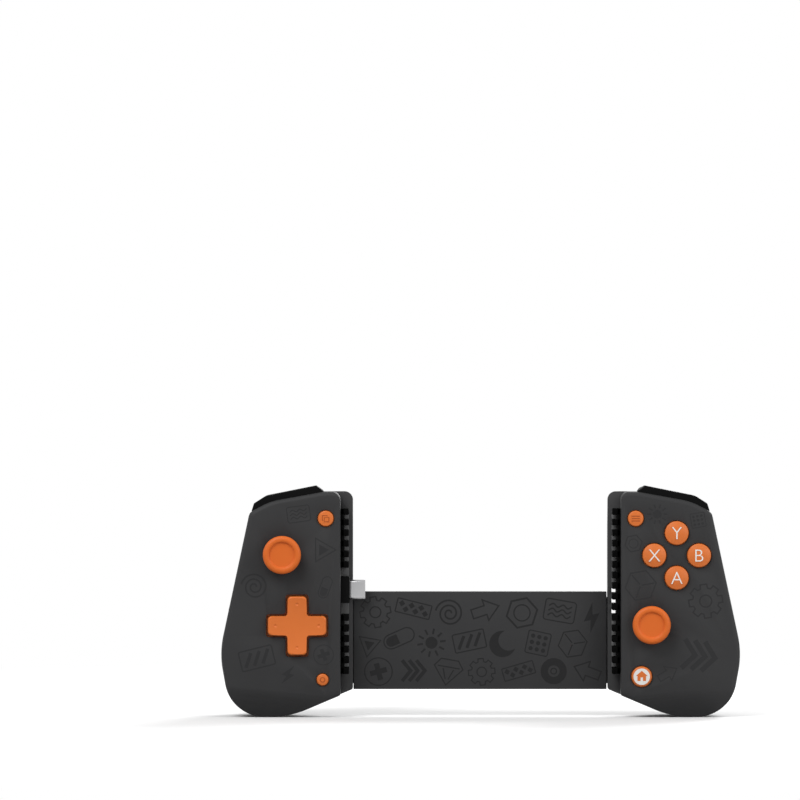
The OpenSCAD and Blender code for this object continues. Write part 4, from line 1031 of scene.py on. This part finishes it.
bridge_signs = [
    ("gear", -44.3, 11.9, 1.1, 10), ("checker", -28.2, 13.4, 1.05, -14), ("spiral", -13, 11.4, 1.05, 0),
    ("arrow", 2.2, 12.8, 0.98, 18), ("nut", 17.6, 11.6, 1.1, 12), ("waves", 33.6, 12.4, 1.02, -10),
    ("bolt", 47, 9.6, 1.05, 12), ("delta", -47, -1.8, 0.88, 20), ("capsule", -34.3, 0.9, 1.05, 24),
    ("sun", -20.6, -1, 1.02, 8), ("blinds", -4.6, -0.3, 1.08, 12), ("crescent", 9.4, -1.5, 1, 30),
    ("dots", 24.4, -1.2, 0.96, -12), ("cube", 39, -1.4, 1.02, 8), ("plus", -43, -13.2, 1, 15),
    ("chevrons", -28, -12.8, 1, 0), ("gem", -13.6, -12.8, 1.02, -10), ("gear", 0.6, -13.3, 0.95, 5),
    ("checker", 16.2, -12.9, 0.96, 16), ("disc", 31, -13, 1.02, 0), ("arrow", 45, -13, 0.95, 160),
]
right_signs = [
    ("sun", 74.2, 53.5, 0.72, 0), ("nut", 64.2, 41.2, 0.62, 12), ("cube", 67.2, 23.6, 1.1, 10),
    ("gear", 94.5, 17, 1.2, 8), ("chevrons", 92, -6, 1.4, -8), ("arrow", 78.6, -13.4, 0.72, 30),
    ("dots", 91.3, 51, 0.6, 10),
]
left_signs = [
    ("waves", -76.5, 53.6, 0.75, 8), ("delta", -66.5, 38.5, 0.95, 0), ("spiral", -95, 23, 1, 0),
    ("capsule", -65.3, 22.8, 0.72, 70), ("blinds", -94, -7, 1.15, 14), ("plus", -66, -5.6, 0.72, 20),
    ("bolt", -81, -14, 0.75, -20),
]


def hoop(name, rings):
    count, rounds = len(rings[0]), len(rings)
    faces = []
    for k in range(rounds):
        here, there = k * count, (k + 1) % rounds * count
        for i in range(count):
            after = (i + 1) % count
            faces.append((here + i, here + after, there + after, there + i))
    return new_piece(name, [p for ring in rings for p in ring], faces)


def print_figure(loops, x, z, size, turn, face):
    cos, sin = math.cos(math.radians(turn)) * size * mm, math.sin(math.radians(turn)) * size * mm
    placed = [[(x + a * cos - b * sin, z + a * sin + b * cos) for a, b in loop] for loop in loops]
    front, back = face - print_front, face + print_back
    if len(placed) == 1:
        return prism("figure", placed[0], front, back)
    outer, inner = placed
    levels = ((outer, front), (inner, front), (inner, back), (outer, back))
    return hoop("figure", [level_ring(loop, y, RIGHT) for loop, y in levels])


def print_signs(name, table, face, material, body):
    figures = [
        print_figure(loops, x * mm, z * mm, size, turn, face)
        for sign, x, z, size, turn in table for loops in signs[sign]
    ]
    sheet = join(*figures)
    sheet.name = sheet.data.name = name
    return finish_piece(sheet, material, body, "faceplate")


bridge_ink = tinted_plastic(
    "bridge_ink", (0.009, 0.009, 0.0095), (0.011, 0.011, 0.0115), 0.6, 0.18 * mm, 0.01 * mm, 0.2
)
face_ink = tinted_plastic(
    "face_ink", (0.019, 0.019, 0.020), (0.021, 0.021, 0.022), 0.6, 0.18 * mm, 0.01 * mm, 0.2
)
print_signs("bridge_print", bridge_signs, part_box("bridge_plate")[0].y, bridge_ink, "left_half")
print_signs("left_face_print", left_signs, face_front, face_ink, "left_half")
print_signs("right_face_print", right_signs, face_front, face_ink, "right_half")

# Bridge cover
# The grey satin channel that closes the bridge behind, with large rounded long edges and wavy ends.
# It clips over the plate's edges, and the rail runs inside it.
cover_round = 5 * mm
cover_back = wing_depth[LEFT]
cover_outer = [
    (plate_back, -bridge_half, 0.4 * mm), (cover_back, -bridge_half, cover_round),
    (cover_back, bridge_half, cover_round), (plate_back, bridge_half, 0.4 * mm),
]


def cover_profile(corners):
    lower, upper = rounded_corner(corners, 1, 20), rounded_corner(corners, 2, 20)
    heights = np.linspace(lower[-1][1], upper[0][1], 62)[1:-1]
    flat = [np.array((lower[-1][0], z)) for z in heights]
    start, end = np.array((plate_back, corners[0][1])), np.array((plate_back, corners[3][1]))
    return [start, *lower, *flat, *upper, end]


def cover_shell():
    points, faces = [], []
    profiles = [cover_profile(cover_outer), cover_profile(inset(cover_outer, cover_wall))]
    count = len(profiles[0])
    for profile in profiles:
        for y, z in profile:
            points.append((-wing_edge + seam_gap - wave(z), y, z))
            points.append((wing_edge - 0.4 * mm - wave_step + wave(z), y, z))
    for i in range(count - 1):
        a, b = 2 * i, 2 * (i + 1)
        c, d = 2 * count + a, 2 * count + b
        faces += [(a, b, b + 1, a + 1), (c, d, d + 1, c + 1)]
        faces += [(a, b, d, c), (a + 1, b + 1, d + 1, c + 1)]
    for i in (0, count - 1):
        a, c = 2 * i, 2 * count + 2 * i
        faces.append((a, a + 1, c + 1, c))
    return new_piece("cover", points, faces)


cover_satin = tinted_plastic(
    "cover_satin", (0.163, 0.163, 0.164), (0.170, 0.170, 0.171), 0.45, 0.2 * mm, 0.008 * mm, 0.35
)
cover = smooth_faces(round_edges(cover_shell(), 0.25 * mm, 3, 50))
finish_piece(cover, cover_satin, "left_half", "cover", "bridge_cover")

# Slide rail
# A moulded tray with a stepped grey rear plate, fixed to it by four small bright screws.
# It is rooted in the right wing and runs in the bridge.
rail_satin = tinted_plastic(
    "rail_satin", (0.130, 0.130, 0.131), (0.138, 0.138, 0.139), 0.42, 0.2 * mm, 0.008 * mm, 0.35
)
for node, name in (("rail_tray", "tray"), ("rail_plate", "rail")):
    piece = smooth_faces(round_edges(copy_node(node, name), 0.12 * mm))
    finish_piece(piece, rail_satin, "right_half", "rail", node)
paint_nodes(screw_steel, "rail_screws")

# Return spring and flat cable
# The wire spring that pulls the bridge shut, and the flat cable between the two boards.
# Both lie in the rail.
spring_wire = brushed_steel("spring_wire", (0.5, 0.5, 0.5), (0.6, 0.6, 0.6), 0.3)
cable_film = tinted_plastic(
    "cable_film", (0.30, 0.13, 0.03), (0.36, 0.16, 0.04), 0.35, 0.5 * mm, 0.004 * mm, 0.5
)
for node, name, material, slot in (
    ("return_spring", "spring", spring_wire, "steel"), ("flex_cable", "cable", cable_film, "polyimide")
):
    low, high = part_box(node)
    piece = smooth_faces(copy_node(node, name), 50)
    piece.data.materials.append(material)
    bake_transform(piece)
    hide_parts(node)

# Round buttons
# Orange caps that stand in the faceplates' openings, moulded with a flange behind that keeps them in.
# The action buttons carry a white letter, the small ones a plain mark, and the lowest a house on white.
key_orange = tinted_plastic(
    "key_orange", (0.64, 0.146, 0.017), (0.68, 0.158, 0.020), 0.42, 0.2 * mm, 0.006 * mm, 0.45
)
mark_white = tinted_plastic(
    "mark_white", (0.78, 0.76, 0.72), (0.82, 0.80, 0.76), 0.5, 0.2 * mm, 0.004 * mm, 0.3
)
mark_dark = tinted_plastic(
    "mark_dark", (0.36, 0.072, 0.010), (0.39, 0.080, 0.012), 0.5, 0.2 * mm, 0.004 * mm, 0.3
)


def turned(name, x, z, profile, sides=96):
    rings = [level_ring(circle((x, z), max(r, 0.01 * mm), sides), y, RIGHT) for r, y in profile]
    return skin(name, rings)


def button_cap(node, crown_drop):
    low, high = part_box(node)
    at = middle(node)
    flange = (high.x - low.x) / 2
    radius, foot, lip = flange - button_flange - 0.12 * mm, flange - 2 * mm, 0.6 * mm
    flange_front = face_inside + 0.08 * mm
    flange_back = flange_front + 0.9 * mm
    profile = [(foot, high.y), (foot, flange_back), (flange, flange_back), (flange, flange_front)]
    profile.append((radius, flange_front))
    rim_y = low.y + crown_drop * ((radius - lip) / radius) ** 2
    for turn in np.radians(np.linspace(0, 78, 10)):
        profile.append((radius - lip * (1 - math.cos(turn)), rim_y + lip * (1 - math.sin(turn))))
    for share in np.linspace(0.82, 0, 12):
        profile.append((radius * share, low.y + crown_drop * share * share))
    return smooth_faces(turned(node.replace("button", "cap"), at.x, at.z, profile), 50)


for node in ("a_button", "b_button", "x_button", "y_button"):
    finish_piece(button_cap(node, mm), key_orange, node, "orange", node)
for node in ("menu_button", "home_button", "view_button", "mode_button"):
    finish_piece(button_cap(node, 0.3 * mm), key_orange, node, "orange", node)


def letter(text, height, at, front, back):
    writing = bpy.data.curves.new(text, "FONT")
    writing.body = text
    writing.extrude = (back - front) / 2
    writing.offset = -0.012
    holder = bpy.data.objects.new(text, writing)
    scene.collection.objects.link(holder)
    bpy.context.view_layer.update()
    drawn = bpy.data.meshes.new_from_object(holder.evaluated_get(bpy.context.evaluated_depsgraph_get()))
    bpy.data.objects.remove(holder)
    spots = np.array([v.co for v in drawn.vertices])
    low, high = spots.min(axis=0), spots.max(axis=0)
    size = height / (high[1] - low[1])
    spots -= (low + high) / 2
    points = [(at.x + x * size, (front + back) / 2 - z, at.z + y * size) for x, y, z in spots]
    piece = new_piece(text.lower() + "_letter", points, [tuple(p.vertices) for p in drawn.polygons])
    merged = bmesh.new()
    merged.from_mesh(piece.data)
    bmesh.ops.remove_doubles(merged, verts=merged.verts, dist=0.001 * mm)
    bmesh.ops.recalc_face_normals(merged, faces=merged.faces)
    merged.to_mesh(piece.data)
    merged.free()
    return piece


for text in "ABXY":
    node = text.lower() + "_button"
    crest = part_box(node)[0].y
    mark = letter(text, 5 * mm, middle(node), crest - 0.02 * mm, crest + 0.3 * mm)
    finish_piece(mark, mark_white, node, None)


def cap_mark(name, node, loops, material, rise):
    at, crest = middle(node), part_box(node)[0].y
    mark = join(*[print_figure(loop, at.x, at.z, 1, 0, crest - rise) for loop in loops])
    mark.name = mark.data.name = name
    return finish_piece(mark, material, node, None)


house = [
    (-1.8, -1.8), (-0.5, -1.8), (-0.5, -0.3), (0.5, -0.3), (0.5, -1.8), (1.8, -1.8),
    (1.8, 0.3), (2.5, 0.3), (0, 2.5), (-2.5, 0.3), (-1.8, 0.3),
]
menu_bars = [solid([(x, z + rise) for x, z in box_outline(1.75, 0.2, 0.15)]) for rise in (-1, 0, 1)]
back_pane = stroke([(-0.9, -0.7), (-1.35, -0.7), (-1.35, 1.25), (0.6, 1.25), (0.6, 0.85)], 0.3)
front_pane = band([(-0.55, -1.3), (1.35, -1.3), (1.35, 0.45), (-0.55, 0.45)], 0.3)
cap_mark("menu_mark", "menu_button", menu_bars, mark_dark, 0)
cap_mark("view_mark", "view_button", [back_pane, front_pane], mark_dark, 0)
cap_mark("mode_mark", "mode_button", [band(circle(centre, 0.95, 32), 0.35)], mark_dark, 0)
cap_mark("home_disc", "home_button", [solid(circle(centre, 3.45, 64))], mark_white, 0)
cap_mark("home_mark", "home_button", [solid(house)], key_orange, 0.03 * mm)

# Direction pad
# An orange cross with rounded edges, hollowed in one shallow dish from arm to arm, with a dimple on each arm
# and a flange behind that keeps it in. It rocks on a small cross-shaped pivot.


def dpad_cap():
    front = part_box("dpad")[0].y + 0.25 * mm
    back = face_front + 4.4 * mm
    edge, flange, flange_thick = 0.9 * mm, 1.1 * mm, 0.8 * mm
    rings = []
    for turn in np.radians(np.linspace(86, 0, 10)):
        outline = dpad_cross(-edge * (1 - math.cos(turn)), 10)
        rings.append(level_ring(outline, front + edge * (1 - math.sin(turn)), RIGHT))
    rings.append(level_ring(dpad_cross(0, 10), back, RIGHT))
    cap = skin("dpad_cap", rings)
    dish_depth, dish_reach, past_tips = 1.1 * mm, dpad_span / 2, 14 * mm

    def dish_y(reach):
        return front + dish_depth * (1 - (reach / dish_reach) ** 2)

    dish = [(past_tips, front - 2 * mm)] + [(r, dish_y(r)) for r in np.linspace(past_tips, 0, 29)]
    cut(cap, turned("dish", dpad_middle.x, dpad_middle.z, dish))
    dimple_reach, dimple_radius, dimple_depth = 9 * mm, 1.1 * mm, 0.22 * mm
    for x, z in ((1, 0), (0, 1), (-1, 0), (0, -1)):
        spot = (dpad_middle.x + x * dimple_reach, dpad_middle.z + z * dimple_reach)
        centre_y = dish_y(dimple_reach) + dimple_depth - dimple_radius
        cut(cap, ball("dimple", (spot[0], centre_y, spot[1]), dimple_radius))
    return join(cap, prism("flange", dpad_cross(flange, 4), back - flange_thick, back))


finish_piece(smooth_faces(dpad_cap(), 28), key_orange, "dpad", "orange", "dpad")

# Thumb sticks
# Orange rubber caps with a broad round rim and a stepped flat dish, on a round skirt that closes the opening.
# Below them a steel shaft, a gimbal and a plastic base let them tilt and click.
stick_rubber = tinted_plastic(
    "stick_rubber", (0.65, 0.128, 0.013), (0.69, 0.138, 0.016), 0.5, 0.2 * mm, 0.008 * mm, 0.3
)


def stick_cap(side):
    at = middle(side_names[side] + "_stick_cap")
    skirt, skirt_inside, neck, boss = 10 * mm, 8.8 * mm, 4.4 * mm, 3.6 * mm
    skirt_edge = math.radians(67)
    profile = [(boss, 6.5 * mm)]
    for turn in np.linspace(math.asin(boss / skirt_inside), skirt_edge, 20):
        profile.append((skirt_inside * math.sin(turn), skirt_inside * math.cos(turn)))
    for turn in np.linspace(skirt_edge, math.asin(neck / skirt), 20):
        profile.append((skirt * math.sin(turn), skirt * math.cos(turn)))
    cap_edge = [(neck / mm, 10.2), (7.2, 10.9), (7.75, 11.3), (7.97, 11.8), (8, 12.3), (7.9, 12.8)]
    cap_rim = [(7.66, 13.22), (7.3, 13.52), (6.8, 13.7), (6.25, 13.74), (5.75, 13.62), (5.45, 13.42)]
    cap_dish = [(5.36, 13.3), (5.26, 12.86), (5.1, 12.78), (4.8, 12.76), (2.5, 12.72), (0, 12.7)]
    profile += [(r * mm, h * mm) for r, h in cap_edge + cap_rim + cap_dish]
    profile = [(r, stick_pivot_y - h) for r, h in profile]
    return smooth_faces(turned(side_names[side] + "_thumb_cap", at.x, at.z, profile, 128), 45)


for side in (RIGHT, LEFT):
    name = side_names[side]
    finish_piece(stick_cap(side), stick_rubber, name + "_stick_top", "stick_rubber", name + "_stick_cap")
frame_plastic = tinted_plastic(
    "frame_plastic", (0.55, 0.55, 0.53), (0.62, 0.62, 0.60), 0.5, 0.3 * mm, 0.01 * mm, 0.4
)
pin_steel = brushed_steel("pin_steel", (0.48, 0.48, 0.49), (0.58, 0.58, 0.59), 0.3)
for name in side_names.values():
    paint_nodes(frame_plastic, name + "_stick_base", name + "_stick_pivot")
    paint_nodes(pin_steel, name + "_stick_gimbal", name + "_stick_shaft")
paint_nodes(frame_plastic, "dpad_post")
paint_nodes(pin_steel, "dpad_pivot")

# Bumpers
# Black moulded keys in the slots of the shoulders, highest toward the outer end.
# Each is pressed straight down, and a stem below it works a switch.


def bumper_key(side):
    place = on_shoulder(side)
    h = key_half
    corners = [
        (-h, -3 * mm, 0.3 * mm), (h - 0.3 * mm, -3 * mm, 0.3 * mm), (h - 0.3 * mm, 0.2 * mm, 0.5 * mm),
        (h - 2.1 * mm, 3 * mm, 1.2 * mm), (h / 2, 4.75 * mm, 6 * mm),
        (-h + 2.3 * mm, 3.15 * mm, mm), (-h, 0.3 * mm, 0.5 * mm),
    ]
    front, back, edge = face_inside, 0.9 * mm, 0.5 * mm
    rings = []
    for start, step in ((front, 1), (back, -1)):
        turns = np.radians(np.linspace(90, 0, 7))
        for turn in turns[::step]:
            outline = rounded(inset(corners, edge * (1 - math.cos(turn))), 10)
            v = start + step * edge * (1 - math.sin(turn))
            rings.append([place((u, v, w)) for u, w in outline])
    key = skin(side_names[side] + "_bumper_key", rings)
    stem = block("stem", (-9.5 * mm, -8 * mm, -8.3 * mm), (-4.5 * mm, -3 * mm, -2.5 * mm), place)
    return smooth_faces(join(key, stem), 40)


# Triggers
# Black moulded blades behind the bumpers, with round rear corners and a lip that flares up for the finger.
# Two lugs below turn on a steel pin, and a leg spring on the pin lifts the blade again.


def trigger_blade(side):
    place = on_shoulder(side)
    thick, corner_radius, most_sink = 2, 6, 1.1
    blade_front, blade_length = 2, 20.5
    end_thick, end_run = 0.45, 0.7
    lug_inner, lug_outer = 6 * mm, 12.3 * mm
    top = [
        (blade_front, 4.8), (5.5, 4.65), (9, 4.1), (12.5, 3.3), (15.6, 2.75),
        (18.6, 2.65), (20.4, 2.95), (21.5, 3.5), (22.5, 4.2),
    ]
    low = [
        (22.9, 3.9), (22.4, 2.7), (21.4, 1.8), (18.6, 0.8), (15.6, 0.85),
        (12.5, 1.4), (9, 2.2), (5.5, 2.75), (blade_front, 2.9),
    ]
    roof = [
        (-14.9, 0.6), (-14.6, 1.2), (-14.1, 1.75), (-13.4, 2.3), (-12.8, 2.6), (-12, 2.8), (3, 3.98),
        (5.5, 4.13), (7.2, 4.16), (8.8, 3.92), (12.2, 2.85), (12.9, 2.4), (13.5, 1.7), (13.75, 1.2),
    ]
    roof_u, roof_w = zip(*roof)
    first, last = roof_u[0], roof_u[-1]
    ends = np.linspace(0, 2, 16)
    rings = []
    for u in (*(first + ends), *np.linspace(first + 2.4, last - 2.4, 44), *(last - ends[::-1])):
        lid = np.interp(u, roof_u, roof_w)
        sink = min(top[0][1] - lid, most_sink)
        end_gap = min(u - first, last - u)
        pull = min(1, end_thick + (1 - end_thick) * end_gap / end_run)
        inward = max(corner_radius - end_gap, 0)
        shorten = corner_radius - math.sqrt(corner_radius ** 2 - inward ** 2)
        ring = []
        for v, w in top + low:
            spine_w = np.interp(v, [p[0] for p in top], [p[1] for p in top]) - thick / 2
            reach_v = blade_front + (v - blade_front) * (1 - shorten / blade_length)
            height = min(spine_w + (w - spine_w) * pull - sink, lid)
            ring.append(place((u * mm, reach_v * mm, height * mm)))
        rings.append(ring)
    blade = skin(side_names[side] + "_trigger_blade", rings)
    for end in (-1, 1):
        low_u, high_u = sorted((end * lug_inner, end * lug_outer))
        lug = block("lug", (low_u, 2.4 * mm, -5 * mm), (high_u, 7.4 * mm, 2.3 * mm), place)
        blade = join(blade, lug)
    return smooth_faces(blade, 40)


for side in (RIGHT, LEFT):
    name = side_names[side]
    finish_piece(bumper_key(side), key_plastic, name + "_bumper", "black_plastic", name + "_bumper")
    finish_piece(trigger_blade(side), key_plastic, name + "_trigger", "black_plastic", name + "_trigger")
    paint_nodes(pin_steel, name + "_trigger_pin", name + "_trigger_spring")

# Boards, keypads and switches
# A green lacquered board in each grip, held between the shells, with soft white key domes on its front.
# A small black switch stands under each bumper.
board_lacquer = tinted_plastic(
    "board_lacquer", (0.012, 0.075, 0.03), (0.018, 0.10, 0.04), 0.35, 0.4 * mm, 0.01 * mm, 0.5
)
dome_silicone = tinted_plastic(
    "dome_silicone", (0.6, 0.6, 0.58), (0.66, 0.66, 0.64), 0.55, 0.3 * mm, 0.01 * mm, 0.4
)
for name in side_names.values():
    paint_nodes(board_lacquer, name + "_board")
    paint_nodes(dome_silicone, name + "_keypads")
    paint_nodes(key_plastic, name + "_bumper_switch")

# Studio
# A pale floor under the grips, a white surround, soft boxes above and at both sides, and a long lens
# straight in front, with the frame centred as the picture has it.
floor_size = 3
floor = new_piece(
    "floor",
    [(x * floor_size, y * floor_size, cad_low.z) for x, y in ((-1, -1), (1, -1), (1, 1), (-1, 1))],
    [(0, 1, 2, 3)],
)


def seen_directly(tree):
    path = tree.nodes.new("ShaderNodeLightPath")
    seen = path.outputs["Is Camera Ray"]
    for kind in ("Is Glossy Ray", "Is Transmission Ray"):
        either = tree.nodes.new("ShaderNodeMath")
        either.operation = "MAXIMUM"
        tree.links.new(seen, either.inputs[0])
        tree.links.new(path.outputs[kind], either.inputs[1])
        seen = either.outputs[0]
    return seen


def mixed(tree, share, first, second):
    mix = add_node(tree, "ShaderNodeMixShader", Fac=share)
    tree.links.new(first.outputs[0], mix.inputs[1])
    tree.links.new(second.outputs[0], mix.inputs[2])
    return mix


def floor_paint():
    material = bpy.data.materials.new("floor_paint")
    material.use_nodes = True
    tree = material.node_tree
    tree.nodes.remove(tree.nodes["Principled BSDF"])
    near = add_node(tree, "ShaderNodeBsdfDiffuse", Color=(0.9, 0.9, 0.9, 1))
    bounce = add_node(tree, "ShaderNodeBsdfDiffuse", Color=(0.35, 0.35, 0.35, 1))
    far = add_node(tree, "ShaderNodeEmission")
    place = add_node(tree, "ShaderNodeTexCoord").outputs["Object"]
    reach = add_node(tree, "ShaderNodeVectorMath", Vector=place)
    reach.operation = "LENGTH"
    fade = add_node(tree, "ShaderNodeMapRange", Value=reach.outputs["Value"], From_Min=0.16, From_Max=0.5)
    shown = mixed(tree, fade.outputs["Result"], near, far)
    paint = mixed(tree, seen_directly(tree), bounce, shown)
    connect(tree, tree.nodes["Material Output"], Surface=paint.outputs[0])
    return material


floor.data.materials.append(floor_paint())
floor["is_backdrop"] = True

world = bpy.data.worlds.new("surround")
world.use_nodes = True
scene.world = world
sky = world.node_tree
white = connect(sky, sky.nodes["Background"], Color=(1, 1, 1, 1))
ambient = add_node(sky, "ShaderNodeBackground", Color=(1, 1, 1, 1), Strength=0.5)
choice = mixed(sky, seen_directly(sky), ambient, white)
connect(sky, sky.nodes["World Output"], Surface=choice.outputs[0])



def soft_box(name, spot, size, power):
    lamp = bpy.data.lights.new(name, "AREA")
    lamp.shape = "DISK"
    lamp.size = size
    lamp.energy = power
    stand = bpy.data.objects.new(name, lamp)
    stand.location = spot
    stand.rotation_euler = (Vector((0, 0, 0.01)) - Vector(spot)).to_track_quat("-Z", "Y").to_euler()
    scene.collection.objects.link(stand)


soft_box("key", (-0.5, -0.7, 0.9), 0.7, 8.5)
soft_box("fill", (0.8, -0.6, 0.4), 0.7, 3.6)
soft_box("back", (0.55, 0.95, 0.7), 0.8, 16)

pixel = 0.42 * mm
frame_pixels = 800
origin_pixel = (480.7, 641.6)
camera_distance = 2.5
lens = bpy.data.cameras.new("camera")
lens.lens = lens.sensor_width * camera_distance / (frame_pixels * pixel)
camera = bpy.data.objects.new("camera", lens)
camera.location = (
    (frame_pixels / 2 - origin_pixel[0]) * pixel,
    face_front - camera_distance,
    (origin_pixel[1] - frame_pixels / 2) * pixel,
)
camera.rotation_euler = (math.pi / 2, 0, 0)
scene.collection.objects.link(camera)
scene.camera = camera
scene.view_settings.view_transform = "Standard"

# Sizes
# The corners of the solids' box and of the finished controller's box, in metres.
low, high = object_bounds()
